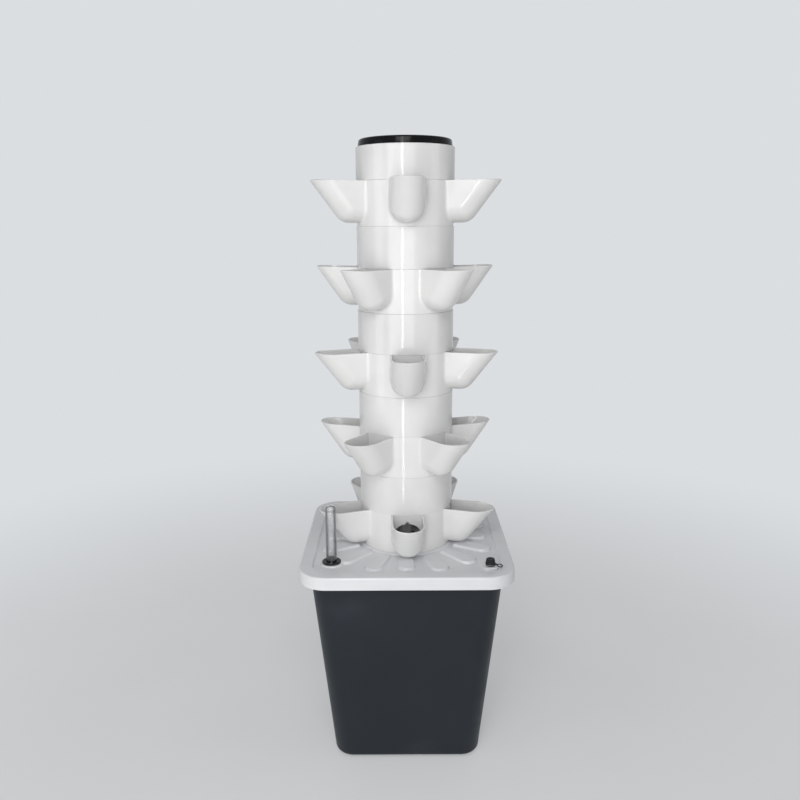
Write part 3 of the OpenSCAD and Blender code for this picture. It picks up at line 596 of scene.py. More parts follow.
class PocketForm:
    # The outer skin of one pocket and its share of the ring's wall, out along +X
    def __init__(self, ring, pocket):
        self.ringR, self.height = metres(ring, "radius", "height")
        self.r = pocket["halfWidth"] * mm
        self.slope = radians(pocket["slopeDegrees"])
        self.sector = pi / pocket["count"]
        self.z = pocket["lift"] * mm + self.r
        mouth = pocket["tip"] * mm - self.r / sin(self.slope)
        self.x = mouth - (self.height - self.z) / tan(self.slope)
        self.sizes = pocket
        self.around = 2 * pocket["slopeSteps"] + pocket["roundSteps"]
        self.along = pocket["levelSteps"] + pocket["bendSteps"] + pocket["slopeSteps"]
        self.sideShare = pocket["slopeSteps"] / self.around

    def fillet(self, y, z):
        sizes = self.sizes
        below = ease((self.height - z) / mm / sizes["filletGrowsOver"])
        side = mix(sizes["filletAtRim"], sizes["filletOnSide"], below)
        if z >= self.z:
            return side * mm
        return mix(sizes["filletBelow"], side, ease(abs(y) / self.r)) * mm

    def root(self, y):
        return sqrt(self.ringR ** 2 - y ** 2)

    def pipe(self, u, v):
        # Level half pipe from the root, round bend, then the slope up to the rim
        sizes = self.sizes
        a = pi * (u - 0.5)
        y, drop = self.r * sin(a), self.r * cos(a)
        i = round(v * self.along)
        if i <= sizes["levelSteps"]:
            start = self.root(y) + self.fillet(y, self.z - drop)
            return Vector((mix(start, self.x, i / sizes["levelSteps"]), y, self.z - drop))
        i -= sizes["levelSteps"]
        b = self.slope * min(i / sizes["bendSteps"], 1)
        x, z = self.x + drop * sin(b), self.z - drop * cos(b)
        up = max(i - sizes["bendSteps"], 0) / sizes["slopeSteps"] * (self.height - z)
        return Vector((x + up / tan(self.slope), y, z + up))

    def side(self, u, v, sign):
        # Flat side between the root, the level pipe and the slope
        z = mix(self.z, self.height, v)
        end = self.x + (z - self.z) / tan(self.slope)
        start = self.root(self.r) + self.fillet(self.r, z)
        t = u if sign < 0 else 1 - u
        return Vector((mix(start, end, t), sign * self.r, z))

    def rootLine(self, u):
        # Along the root, from the rim on the right side under the pocket to the left side:
        # the place in (y, z), the way out over the wall, and the matching place on the border
        share = self.sideShare
        if u < share or u > 1 - share:
            sign = 1 if u < share else -1
            depth = (u if u < share else 1 - u) / share
            z = mix(self.height, self.z, depth)
            return sign * self.r, z, (sign, 0), (sign * self.sector, z)
        a = pi * (0.5 - (u - share) / (1 - 2 * share))
        y, z = self.r * sin(a), self.z - self.r * cos(a)
        quarter = pi / 4
        if abs(a) > quarter:
            border = (copysign(self.sector, a), self.z * (abs(a) - quarter) / quarter)
        else:
            border = (self.sector * a / quarter, 0)
        return y, z, (sin(a), -cos(a)), border

    def onWall(self, y, z, out):
        angle = asin(y / self.ringR) + out[0] * self.fillet(y, z) / self.ringR
        return angle, z + out[1] * self.fillet(y, z)

    def wallPoint(self, angle, z):
        return Vector((self.ringR * cos(angle), self.ringR * sin(angle), z))

    def filletStrip(self, u, v):
        y, z, out, _ = self.rootLine(u)
        corner = Vector((self.root(y), y, z))
        onPocket = corner + Vector((self.fillet(y, z), 0, 0))
        onWall = self.wallPoint(*self.onWall(y, z, out))
        return onPocket * (1 - v) ** 2 + corner * 2 * v * (1 - v) + onWall * v ** 2

    def wall(self, u, v):
        y, z, out, border = self.rootLine(u)
        angle, height = self.onWall(y, z, out)
        return self.wallPoint(mix(angle, border[0], v), mix(height, border[1], v))


def pocketSkin(form):
    sizes, sideGrid = pocketSizes, (pocketSizes["levelSteps"], pocketSizes["slopeSteps"])
    return join(
        "pocketSkin",
        mappedGrid("pipe", sizes["roundSteps"], form.along, form.pipe),
        mappedGrid("leftSide", *sideGrid, lambda u, v: form.side(u, v, -1)),
        mappedGrid("rightSide", *sideGrid, lambda u, v: form.side(u, v, 1)),
        mappedGrid("fillet", form.around, sizes["filletSteps"], form.filletStrip),
        mappedGrid("wall", form.around, sizes["wallSteps"], form.wall),
    )


def ringInside(form):
    # The wall behind the pockets, with its spigots and the arches that let the roots in
    outer = (ringSizes["radius"] - ringSizes["liningGap"]) * mm
    inner = (ringSizes["radius"] - ringSizes["liningWall"]) * mm
    spigot, throat, rise, high, edge = metres(
        ringSizes, "spigotRadius", "spigotInner", "spigotHeight", "height", "spigotEdge")
    shoulder = pocketSizes["lift"] * mm
    slant = inner - throat
    shell = turned("ringInside", [
        (throat, -rise), (spigot - edge, -rise), (spigot, -rise + edge), (spigot, 0), (outer, 0),
        (outer, high), (spigot, high), (spigot, high + rise - edge), (spigot - edge, high + rise),
        (throat, high + rise), (throat, high - shoulder + slant), (inner, high - shoulder),
        (inner, shoulder), (throat, shoulder - slant), (throat, -rise),
    ], ringSizes["steps"])
    arch = (pocketSizes["halfWidth"] - ringSizes["wall"]) * mm
    start, end = metres(pocketSizes, "archFrom", "archTo")
    notch, notchTop = pocketSizes["notchWidth"] / 2 * mm, arch + pocketSizes["notchHeight"] * mm
    cutters = []
    for i in range(pocketSizes["count"]):
        bar = roundBar("arch", arch, (start, 0, form.z), (end, 0, form.z),
                       pocketSizes["archSides"])
        add(bar, block("notch", (start, -notch, form.z), (end, notch, form.z + notchTop)))
        bar.data.transform(Matrix.Rotation(2 * form.sector * i, 4, "Z"))
        cutters.append(bar)
    cut(shell, join("arches", *cutters))
    return shell


def modelRing():
    form = PocketForm(ringSizes, pocketSizes)
    skin = pocketSkin(form)
    copies = [copyPiece(skin, "pocketCopy", Matrix.Rotation(2 * form.sector * i, 4, "Z"))
              for i in range(1, pocketSizes["count"])]
    ring = join("ringSkin", skin, *copies)
    weld(ring, pocketSizes["weldGap"] * mm)
    modify(ring, "SOLIDIFY", thickness=ringSizes["wall"] * mm, offset=-1.0, use_even_offset=True,
           use_quality_normals=True)
    modify(ring, "BEVEL", width=pocketSizes["rimEdge"] * mm, segments=pocketSizes["rimSegments"],
           limit_method="ANGLE", angle_limit=radians(60))
    ring = join("plantingRing", ring, ringInside(form))
    smooth(ring, 40)
    return ring


def placeRings():
    # The model's first pocket points along +X; a quarter turn back brings it to the front
    model = modelRing()
    for i, turn in enumerate(ringSizes["turnsDegrees"]):
        node = f"planting_ring_{i + 1}"
        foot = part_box(node)[0][2] + ringSizes["spigotHeight"] * mm
        turning = Matrix.Rotation(radians(turn - 90), 4, "Z")
        ring = copyPiece(model, f"plantingRing{i + 1}", Matrix.Translation((0, 0, foot)) @ turning)
        standIn(ring, f"tier_{i + 1}", node)
    remove(model)


placeRings()
print("planting rings ready")


# Plain tubes and the top cap

tubeSizes = {"radius": 80.0, "wall": 3.2, "edge": 0.9, "steps": 160}
capSizes = {
    "brimEdge": 3.4,
    "dome": 1.6,
    "wall": 2.6,
    "taper": 1.2,
    "crownShares": (0.97, 0.9, 0.75, 0.5, 0.25),  # where the dome has rows, from the brim in
    "edgeSteps": 9,
    "steps": 160,
}


def placeTube(node, body):
    low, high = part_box(node)
    outer, wall, edge = metres(tubeSizes, "radius", "wall", "edge")
    profile = ringProfile(outer, outer - wall, low[2], high[2], edge)
    standIn(turned(node, profile, tubeSizes["steps"]), body, node)


def placeTopCap():
    low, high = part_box("top_cap")
    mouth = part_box("top_tube")[1][2]
    wall, edge, dome, taper = metres(capSizes, "wall", "brimEdge", "dome", "taper")
    r, crown = high[0], high[0] - taper - edge
    top = [(crown * share, high[2] - dome * share ** 2) for share in capSizes["crownShares"]]
    under = high[2] - dome - wall
    profile = [
        (0, under), (crown, under), (r - wall, mouth), (r - wall, low[2] + slightRound),
        (r - wall + slightRound, low[2]), (r - slightRound, low[2]), (r, low[2] + slightRound),
        (r, mouth - smallRound),
        *arc(crown, high[2] - dome - edge, edge, edge, 0, 90, capSizes["edgeSteps"]),
        *top, (0, high[2]),
    ]
    standIn(turned("topCap", profile, capSizes["steps"]), "top_cap", "top_cap")


tiers = len(ringSizes["turnsDegrees"])
for i in range(1, tiers):
    placeTube(f"spacer_{i}", f"tier_{i}")
placeTube("top_tube", f"tier_{tiers}")
placeTopCap()
print("tubes and cap ready")


# Tank

tankSizes = {
    "wall": 3.0,
    "floorWidth": 249.2,
    "mouthWidth": 317.6,
    "floorCorner": 32.0,
    "mouthCorner": 36.0,
    "leastCorner": 1.0,
    "floorEdge": 9.0, "floorThickness": 3.5,
    "floorRows": (60, 30),  # extra outlines on the floor, in from its rim
    "floorMargin": 2.0,
    "footHeight": 3.5, "footRadius": 16.0, "footEdge": 1.0, "footAt": 95.0, "footSteps": 48,
    "lipThickness": 3.0, "lipTurn": 7.0, "lipCorner": 44.0,
    # The rolled lip: on the wall's or the lip's outline, in from it, from which level, up
    "lipRows": (
        ("wall", -0.4, "lipLow", -2), ("wall", -2.5, "lipLow", -0.2), ("lip", 3, "lipLow", -0.2),
        ("lip", 2.4, "lipLow", -1), ("lip", 2.2, "turn", 0), ("lip", 1.6, "turn", -0.5),
        ("lip", 0.6, "turn", -0.5), ("lip", 0, "turn", 0), ("lip", 0, "top", -1.2),
        ("lip", 0.4, "top", -0.4), ("lip", 1.2, "top", 0), ("wall", -1, "top", 0),
        ("wall", 1.5, "top", -0.3), ("wall", 3, "top", -2),
    ),
    "wallEnd": 6.0,  # the plain wall stops this far below the lip
    "cornerSteps": 14,
    "edgeSteps": 8,
    "wallSteps": 8,
}


def roundedSquare(half, corner, steps):
    # Points of a square with round corners, in even order round the centre
    points = []
    for quarter in range(4):
        middle = pi / 4 + quarter * pi / 2
        centre = Vector((copysign(half - corner, cos(middle)),
                         copysign(half - corner, sin(middle))))
        for i in range(steps + 1):
            a = quarter * pi / 2 + pi / 2 * i / steps
            points.append(centre + corner * Vector((cos(a), sin(a))))
    return points


def tankSections():
    sizes = tankSizes
    lipHalf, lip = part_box("tank")[1][0] / mm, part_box("tank")[1][2] / mm
    foot, lipLow = sizes["footHeight"], lip - sizes["lipThickness"]

    def outline(half, corner, z):
        points = roundedSquare(half, corner, sizes["cornerSteps"])
        return [(p.x * mm, p.y * mm, z * mm) for p in points]

    def halfAt(z):
        return mix(sizes["floorWidth"], sizes["mouthWidth"], (z - foot) / (lipLow - foot)) / 2

    def onWall(inset, z):
        corner = mix(sizes["floorCorner"], sizes["mouthCorner"], (z - foot) / (lipLow - foot))
        return outline(halfAt(z) - inset, max(corner - inset, sizes["leastCorner"]), z)

    def onLip(inset, z):
        return outline(lipHalf - inset, sizes["lipCorner"] - inset, z)

    def wallUp(inset, floorZ):
        # From the middle of the floor out, round its edge and up the wall
        turn = sizes["floorEdge"] - inset
        middle = halfAt(floorZ) - inset - sizes["leastCorner"]
        insets = (middle, *sizes["floorRows"], turn + sizes["floorMargin"])
        rows = [onWall(inset + more, floorZ) for more in insets]
        rows += [onWall(inset + turn * (1 - up), floorZ + turn * (1 - out))
                 for out, up in quarterTurn(sizes["edgeSteps"])]
        start, end, steps = floorZ + turn, lipLow - sizes["wallEnd"], sizes["wallSteps"]
        return rows + [onWall(inset, mix(start, end, t / steps)) for t in range(1, steps + 1)]

    outlines = {"wall": onWall, "lip": onLip}
    levels = {"lipLow": lipLow, "turn": lip - sizes["lipTurn"], "top": lip}
    rolled = [outlines[kind](inset, levels[level] + up)
              for kind, inset, level, up in sizes["lipRows"]]
    inside = wallUp(sizes["wall"], foot + sizes["floorThickness"])
    return wallUp(0, foot) + rolled + inside[::-1]


def placeTank():
    tank = loft("tank", tankSections())
    faceOutwards(tank)
    at, r, rise, edge = metres(tankSizes, "footAt", "footRadius", "footHeight", "footEdge")
    profile = [(0, 0), (r - edge, 0), (r - edge / 4, edge / 4), (r, edge), (r + edge, rise),
               (r + 2 * edge, rise + edge), (0, rise + edge)]
    feet = [turned("foot", profile, tankSizes["footSteps"], (x, y, 0))
            for x in (-at, at) for y in (-at, at)]
    tank = join("slateTank", tank, *feet)
    smooth(tank, 50)
    standIn(tank, "tank", "tank")


placeTank()
print("tank ready")


# Lid

lidSizes = {
    "half": 175.65,
    "corner": 47.0,
    "wall": 2.8,
    "edge": 3.0, "edgeSteps": 8,
    "skirtHeight": 21.4, "skirtEdge": 0.8, "skirtSteps": 3,
    "innerEdge": 0.4,
    "innerRound": ((0, 2), (0.6, 0.6), (2, 0)),  # inside corner of the skirt: in, down
    "panelHalf": 153.05, "panelCorner": 31.0, "panelDrop": 4.2,
    "stepIn": 1.0, "stepOut": 2.2, "stepSteps": 7, "stepWall": 2.0, "stepEdge": 1.0,
    "bandCorner": 33.0,
    "bandShares": (0.3, 0.65),  # where the band between step and edge has rows
    "mouth": 76.8,
    "hub": 79.8, "hubFillet": 2.0, "hubEdge": 0.5,
    "underSteps": 4,
    "ledge": 68.8, "ledgeDrop": 13.3, "ledgeThickness": 3.0, "ledgeEdge": 0.3,
    "beadInner": 79.1, "beadOuter": 83.6, "beadHeight": 3.0,
    "beadRound": ((0, 0.9), (0.3, 0.3), (1.0, 0)),  # its inner edge: out, down
    "beadCrest": 1.6, "beadSteps": 6,
    "seatGap": 0.1,
}
padSizes = {
    "count": 16,
    "height": 4.1,
    "start": 90.2,
    "halfDegrees": 6.3,
    "fieldHalf": 142.5,
    "endRoom": 14.0,
    "slope": 1.8,
    # Rows of the mesh crowd at the pads' ends: up to which radius, how many
    "startRows": ((88.6, 2), (94.0, 7)),
    "endFrom": 17.0,
    "startToEndRows": 7,
    "endPast": 2.0, "endRows": 42,
    "edgeRows": 5,
    # Columns crowd at the pads' sides: shares of half the way to the next pad
    "columnShares": (0, 0.12, 0.24, 0.33, 0.39, 0.43, 0.46, 0.48, 0.5, 0.52, 0.54, 0.56,
                     0.585, 0.64, 0.74, 0.87),
}
bossSizes = {
    "gaugeAt": (-124.0, -111.0),
    "gaugeRadius": 18.4, "gaugeHeight": 2.5, "gaugeHole": 12.1,
    "socketAt": (135.6, -132.0),
    "socketHole": 6.2,
    "squareHalf": 11.0, "squareCorner": 4.0, "squareHeight": 5.2,
    "fillet": 1.1,
    "edge": 0.6,
    "sunk": 1.0,  # the bosses start this far below the panel
    "dimpleAt": (8.2, 2.0),
    "dimpleRadius": 0.9, "dimpleFrom": 1.0, "dimpleDepth": 1.5,
    "drillFrom": 10.0,  # the holes' cutter, below and above the panel
    "drillTo": 20.0,
    "edgeSteps": 5,
    "sides": 96,
    "socketSides": 64,
    "dimpleSides": 24,
}


def squareRadius(angle, half, corner):
    # Distance from the middle to a square with round corners, in one direction
    ux, uy = abs(cos(angle)), abs(sin(angle))
    flat = half / max(ux, uy)
    if flat * min(ux, uy) <= half - corner:
        return flat
    c = half - corner
    return c * (ux + uy) + sqrt(max((c * (ux + uy)) ** 2 - 2 * c * c + corner ** 2, 0))


def padReach(angle):
    sizes = padSizes
    flat = sizes["fieldHalf"] / max(abs(cos(angle)), abs(sin(angle)))
    return min(flat, sizes["fieldHalf"] + sizes["endRoom"])


def padHeight(radius, angle):
    # How far the raised pads stand over the panel at one place
    sizes = padSizes
    pitch = 2 * pi / sizes["count"]
    middle = round(angle / pitch) * pitch
    half = radians(sizes["halfDegrees"])
    x, y = radius * cos(angle - middle), abs(radius * sin(angle - middle))
    centre = padReach(middle) - sizes["endRoom"]
    if x > centre:
        inside = centre * tan(half) - hypot(x - centre, y)
    else:
        inside = min(x * sin(half) - y * cos(half), x - sizes["start"])
    return sizes["height"] * ease(inside / sizes["slope"])


def lidProfile(angle, panelZ, bandZ, skirtZ):
    # One cut from the axis out, closed: over the top, down the skirt and back underneath
    sizes, pads = lidSizes, padSizes
    wall, bead, hub, ledge = sizes["wall"], sizes["beadInner"], sizes["hub"], sizes["ledge"]
    ledgeZ, beadZ = panelZ - sizes["ledgeDrop"], panelZ + sizes["beadHeight"]

    def skirt(out):
        return squareRadius(angle, sizes["half"] + out, sizes["corner"] + out)

    def panel(out):
        return squareRadius(angle, sizes["panelHalf"] + out, sizes["panelCorner"] + out)

    outline = [(sizes["mouth"], ledgeZ), (sizes["mouth"], panelZ), (bead, panelZ)]
    outline += [(bead + out, beadZ - down) for out, down in sizes["beadRound"]]
    crest, steps = bead + sizes["beadCrest"], sizes["beadSteps"]
    for t in range(steps + 1):
        outline.append((mix(crest, sizes["beadOuter"], t / steps),
                        beadZ - sizes["beadHeight"] * ease(t / steps)))
    reach, before = padReach(angle), sizes["beadOuter"]
    for after, rows in (
        *pads["startRows"], (reach - pads["endFrom"], pads["startToEndRows"]),
        (reach + pads["endPast"], pads["endRows"]), (panel(-sizes["stepIn"]), pads["edgeRows"]),
    ):
        for t in range(1, rows + 1):
            r = mix(before, after, t / rows)
            outline.append((r, panelZ + padHeight(r, angle)))
        before = after
    run, steps = sizes["stepIn"] + sizes["stepOut"], sizes["stepSteps"]
    for t in range(1, steps + 1):
        outline.append((panel(run * t / steps - sizes["stepIn"]),
                        mix(panelZ, bandZ, ease(t / steps))))
    edge = sizes["edge"]
    inner = squareRadius(angle, sizes["panelHalf"] + sizes["stepOut"], sizes["bandCorner"])
    outline += [(mix(inner, skirt(-edge), share), bandZ) for share in sizes["bandShares"]]
    outline += [(skirt(edge * (out - 1)), bandZ - edge + edge * up)
                for up, out in quarterTurn(sizes["edgeSteps"])]
    tip, soft, steps = sizes["skirtEdge"], sizes["innerEdge"], sizes["skirtSteps"]
    outline += [(skirt(0), mix(bandZ - edge, skirtZ + tip, t / steps)) for t in range(1, steps + 1)]
    outline += [(skirt(-tip * 0.3), skirtZ + tip * 0.3), (skirt(-tip), skirtZ),
                (skirt(soft - wall), skirtZ), (skirt(-wall), skirtZ + soft)]
    outline += [(skirt(-wall - inset), bandZ - wall - down) for inset, down in sizes["innerRound"]]
    step, edge = sizes["stepWall"], sizes["stepEdge"]
    far, under = panel(step - edge), panelZ - wall
    outline += [(panel(step + edge), bandZ - wall), (panel(step), bandZ - wall - edge),
                (panel(step), under + edge), (far, under)]
    fillet, steps = sizes["hubFillet"], sizes["underSteps"]
    outline += [(mix(far, hub + fillet, t / steps), under) for t in range(1, steps + 1)]
    low, edge, rim = ledgeZ - sizes["ledgeThickness"], sizes["hubEdge"], sizes["ledgeEdge"]
    return outline + [
        (hub, under - fillet), (hub, low + edge), (hub - edge, low), (ledge + edge, low),
        (ledge, low + edge), (ledge, ledgeZ - rim), (ledge + rim, ledgeZ), (sizes["mouth"], ledgeZ),
    ]


def lidColumns():
    pitch, shares = pi / padSizes["count"], padSizes["columnShares"]
    bothHalves = (*shares, 1, *(2 - share for share in shares[:0:-1]))
    return [pitch * (2 * i + share) for i in range(padSizes["count"]) for share in bothHalves]


def bossRows(half, height, panelZ):
    # Out from the boss's side and up: its sunk foot, the fillet, the top edge and the top
    sizes = bossSizes
    fillet, edge, turns = sizes["fillet"], sizes["edge"], quarterTurn(sizes["edgeSteps"])
    low, top = panelZ - sizes["sunk"], panelZ + height
    rows = [(-half, low), (fillet, low), (fillet, panelZ)]
    rows += [(fillet * (1 - up), panelZ + fillet * (1 - out)) for out, up in turns[1:]]
    rows += [(edge * (out - 1), top - edge + edge * up) for out, up in turns]
    return rows + [(-half, top)]


def squareBoss(panelZ):
    sizes = bossSizes
    (x, y), half, corner = sizes["socketAt"], sizes["squareHalf"], sizes["squareCorner"]
    sections = []
    for out, z in bossRows(half, sizes["squareHeight"], panelZ):
        ring = []
        for i in range(sizes["sides"]):
            a = 2 * pi * i / sizes["sides"]
            r = squareRadius(a, half + out, corner + out) if out > -half else 0
            ring.append(((x + r * cos(a)) * mm, (y + r * sin(a)) * mm, z * mm))
        sections.append(ring)
    boss = loft("squareBoss", sections)
    faceOutwards(boss)
    return boss


def roundBoss(panelZ):
    (x, y), radius = bossSizes["gaugeAt"], bossSizes["gaugeRadius"]
    rows = bossRows(radius, bossSizes["gaugeHeight"], panelZ)
    profile = [((radius + out) * mm, z * mm) for out, z in rows]
    return turned("roundBoss", profile, bossSizes["sides"], (x * mm, y * mm, 0))


def lidHoles(panelZ):
    sizes = bossSizes
    (gx, gy), (sx, sy) = ([v * mm for v in sizes[name]] for name in ("gaugeAt", "socketAt"))
    under, over = (panelZ - sizes["drillFrom"]) * mm, (panelZ + sizes["drillTo"]) * mm
    gauge, socket, half, radius, before, depth = metres(
        sizes, "gaugeHole", "socketHole", "squareHalf", "dimpleRadius", "dimpleFrom", "dimpleDepth")
    dx, dz = (v * mm for v in sizes["dimpleAt"])
    dx, dz, front = sx + dx, panelZ * mm + dz, sy - half
    return join(
        "lidHoles",
        roundBar("gaugeHole", gauge, (gx, gy, under), (gx, gy, over), sizes["sides"]),
        roundBar("socketHole", socket, (sx, sy, under), (sx, sy, over), sizes["socketSides"]),
        roundBar("dimple", radius, (dx, front - before, dz), (dx, front + depth, dz),
                 sizes["dimpleSides"]),
    )


def placeLid():
    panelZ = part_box("planting_ring_1")[0][2] / mm + ringSizes["spigotHeight"] - lidSizes["seatGap"]
    bandZ = panelZ + lidSizes["panelDrop"]
    skirtZ = bandZ - lidSizes["skirtHeight"]
    cuts = []
    for a in lidColumns():
        profile = lidProfile(a, panelZ, bandZ, skirtZ)
        cuts.append([(r * cos(a) * mm, r * sin(a) * mm, z * mm) for r, z in profile])
    lid = loft("lid", list(zip(*cuts)))
    faceOutwards(lid)
    for boss in (roundBoss(panelZ), squareBoss(panelZ)):
        add(lid, boss)
    cut(lid, lidHoles(panelZ))
    smooth(lid, 32)
    standIn(lid, "lid", "lid")


placeLid()
print("lid ready")


# Water gauge

gaugeSizes = {
    "tubeWall": 1.6,
    "domeHeight": 7.0,
    "collarThickness": 2.6, "collarEdge": 0.9, "collarNeck": 11.8,
    "stemHole": 2.4,
    "seatDepth": 2.2, "seatGap": 0.15,
    "seatRound": ((1.6, 0), (1.0, 0.25), (0, 0.7)),  # mouth of the seat: out, down
    "rod": 1.6,
    "tipEdge": 1.8, "tipHeight": 9.2,
    "floatEdge": 1.6,
    "domeSteps": 14,
    "edgeSteps": 6,
    "floatSteps": 5,
    "steps": 96,
    "rodSteps": 64,
}


def placeGauge():
    sizes, at = gaugeSizes, (*(v * mm for v in bossSizes["gaugeAt"]), 0)
    low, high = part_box("gauge_tube")
    wall, dome = metres(sizes, "tubeWall", "domeHeight")
    r = (high[0] - low[0]) / 2
    inner, shoulder, steps = r - wall, high[2] - dome, sizes["domeSteps"]
    profile = [(inner, low[2]), (r, low[2]), *arc(0, shoulder, r, dome, 0, 90, steps),
               *arc(0, shoulder, inner, dome - wall, 90, 0, steps), (inner, low[2])]
    standIn(turned("gaugeTube", profile, sizes["steps"], at), "lid", "gauge_tube")

    low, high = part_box("gauge_collar")
    edge, neck, bore, gap, depth, thickness = metres(
        sizes, "collarEdge", "collarNeck", "stemHole", "seatGap", "seatDepth", "collarThickness")
    rim, top, seat = (high[0] - low[0]) / 2, high[2], r + gap
    boss = top - thickness
    profile = [
        (bore, low[2]), (neck - smallRound, low[2]), (neck, low[2] + smallRound), (neck, boss),
        (rim - slightRound, boss), (rim, boss + slightRound),
        *arc(rim - edge, top - edge, edge, edge, 0, 90, sizes["edgeSteps"]),
        *((seat + out * mm, top - down * mm) for out, down in sizes["seatRound"]),
        (seat, top - depth), (bore, top - depth), (bore, low[2]),
    ]
    standIn(turned("gaugeCollar", profile, sizes["steps"], at), "lid", "gauge_collar")

    low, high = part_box("gauge_stem")
    rod, edge, tipHeight = metres(sizes, "rod", "tipEdge", "tipHeight")
    tip, tipLow = (high[0] - low[0]) / 2, high[2] - tipHeight
    profile = [
        (0, low[2]), (rod, low[2]), (rod, tipLow), (tip - smallRound, tipLow),
        (tip, tipLow + smallRound),
        *arc(tip - edge, high[2] - edge, edge, edge, 0, 90, sizes["edgeSteps"]), (0, high[2]),
    ]
    standIn(turned("gaugeStem", profile, sizes["rodSteps"], at), "float", "gauge_stem")

    low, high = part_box("gauge_float")
    edge, steps = sizes["floatEdge"] * mm, sizes["floatSteps"]
    side, middle = (high[0] - low[0]) / 2 - edge, (low[2] + high[2]) / 2
    profile = [(0, low[2]), (side, low[2]), *arc(side, low[2] + edge, edge, edge, -90, 0, steps),
               *arc(side, high[2] - edge, edge, edge, 0, 90, steps), (rod, high[2]),
               (rod, middle), (0, middle)]
    standIn(turned("gaugeFloat", profile, sizes["rodSteps"], at), "float", "gauge_float")


placeGauge()
print("gauge ready")


# Dust cap and its strap

dustCapSizes = {
    "flutes": 18,
    "fluteDepth": 0.3, "fluteSharpness": 6, "fluteColumns": 8,
    "fadeRows": (2, 3),  # over how many rows the flutes come and go
    "topInset": 1.3,
    "edge": 1.0, "edgeFromDegrees": 15, "edgeSteps": 7,
    "footHeight": 1.8, "footStep": 0.4,
    "topDish": ((1.2, 0.1, "rim"), (1.2, 0.45, "axis"), (0, 0.5, "axis")),  # in or out, down
    "wallRows": 8,
    "bore": 6.1, "boreHeight": 4.2,
}
strapSizes = {
    "radius": 0.8,
    "ringInner": 6.3, "ringHeight": 1.2, "ringEdge": 0.3, "ringSteps": 64,
    # From the socket's axis and the underside of the ring
    "points": ((7.2, -2.0, 4.3), (9, -3, 3.8), (10.8, -6.2, 2.4), (13.2, -9.6, 1.5),
               (16.6, -9.8, 1.5), (18.6, -6.6, 1.9), (17.4, -3, 2.4), (14, -1.5, 2.4),
               (10.6, -1.2, 1.6), (7, -0.6, 0.9)),
    "blendFrom": 0.8, "blendTo": 4.0,
    "steps": 8,
    "sides": 16,
}


def dustCapRows(low, high):
    # Profile of the cap, and between which of its rows the flutes lie
    sizes = dustCapSizes
    bore, boreHeight, inset, edge, footHeight, footStep = metres(
        sizes, "bore", "boreHeight", "topInset", "edge", "footHeight", "footStep")
    foot = (high[0] - low[0]) / 2
    top, footTop, wallTop = foot - inset, low[2] + footHeight, high[2] - edge
    profile = [(bore, low[2] + slightRound), (bore + slightRound, low[2]),
               (foot - smallRound, low[2]), (foot, low[2] + smallRound),
               (foot, footTop - smallRound), (foot - mm / 4, footTop)]
    first, rows = len(profile), sizes["wallRows"]
    for i in range(rows + 1):
        profile.append((mix(foot - footStep, top, i / rows),
                        mix(footTop + mm / 4, wallTop, i / rows)))
    last = len(profile) + sizes["fadeRows"][0]
    profile += arc(top - edge, wallTop, edge, edge, sizes["edgeFromDegrees"], 90,
                   sizes["edgeSteps"])
    for along, down, start in sizes["topDish"]:
        r = top - edge - along * mm if start == "rim" else along * mm
        profile.append((r, high[2] - down * mm))
    profile += [(0, low[2] + boreHeight), (bore, low[2] + boreHeight), (bore, low[2] + slightRound)]
    return profile, first, last


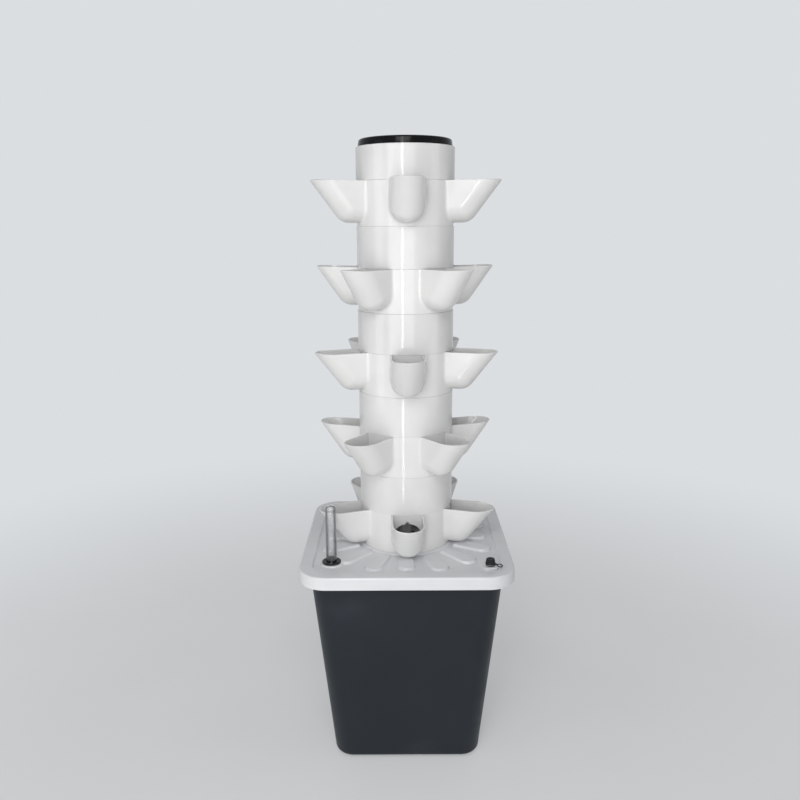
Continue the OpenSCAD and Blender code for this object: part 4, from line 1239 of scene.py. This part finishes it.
def placeDustCap():
    sizes = dustCapSizes
    x, y = (v * mm for v in bossSizes["socketAt"])
    profile, first, last = dustCapRows(*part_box("dust_cap"))
    count, (comes, goes) = sizes["flutes"] * sizes["fluteColumns"], sizes["fadeRows"]
    sections = []
    for row, (radius, z) in enumerate(profile):
        deep = sizes["fluteDepth"] * mm * ease((row - first) / comes) * ease((last - row) / goes)
        ring = []
        for i in range(count):
            a = 2 * pi * i / count
            flute = abs(cos(a * sizes["flutes"] / 2)) ** sizes["fluteSharpness"]
            r = max(radius - deep * flute, 0)
            ring.append((x + r * cos(a), y + r * sin(a), z))
        sections.append(ring)
    cap = loft("dustCap", sections)
    faceOutwards(cap)
    smooth(cap, 50)
    standIn(cap, "dust_cap", "dust_cap")


def splinePoints(points, steps):
    # The same smooth path as in the part's source
    path = []
    last = len(points) - 1
    for i in range(last):
        a, b, c, d = (Vector(points[min(max(k, 0), last)]) for k in (i - 1, i, i + 1, i + 2))
        for k in range(steps):
            t = k / steps
            path.append(0.5 * (2 * b + (c - a) * t + (2 * a - 5 * b + 4 * c - d) * t * t
                               + (3 * b - a - 3 * c + d) * t ** 3))
    return path + [Vector(points[-1])]


def roundStrand(name, path, radius, sides):
    # A round strand along a path, closed by a point at each end
    last = len(path) - 1
    turns = [2 * pi * k / sides for k in range(sides)]
    sections = [[tuple(path[0])] * sides]
    for i, point in enumerate(path):
        along = (path[min(i + 1, last)] - path[max(i - 1, 0)]).normalized()
        across = along.cross(Vector((0, 0, 1))).normalized()
        rise = across.cross(along)
        sections.append([tuple(point + radius * (cos(a) * across + sin(a) * rise))
                         for a in turns])
    sections.append([tuple(path[last])] * sides)
    strand = loft(name, sections)
    faceOutwards(strand)
    smooth(strand, 50)
    return strand


def placeStrap():
    sizes = strapSizes
    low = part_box("cap_tether")[0]
    x, y = (v * mm for v in bossSizes["socketAt"])
    radius, inner, height, edge, blendFrom, blendTo = metres(
        sizes, "radius", "ringInner", "ringHeight", "ringEdge", "blendFrom", "blendTo")
    profile = ringProfile(x - low[0], inner, low[2], low[2] + height, edge)
    ring = turned("strapRing", profile, sizes["ringSteps"], (x, y, 0))
    standIn(ring, "lid", "cap_tether")
    points = [(x + px * mm, y + py * mm, low[2] + pz * mm) for px, py, pz in sizes["points"]]
    strap = roundStrand("strap", splinePoints(points, sizes["steps"]), radius, sizes["sides"])
    finish(strap, "rubber_black")
    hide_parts("cap_tether")
    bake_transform(strap)


placeDustCap()
placeStrap()
print("dust cap ready")
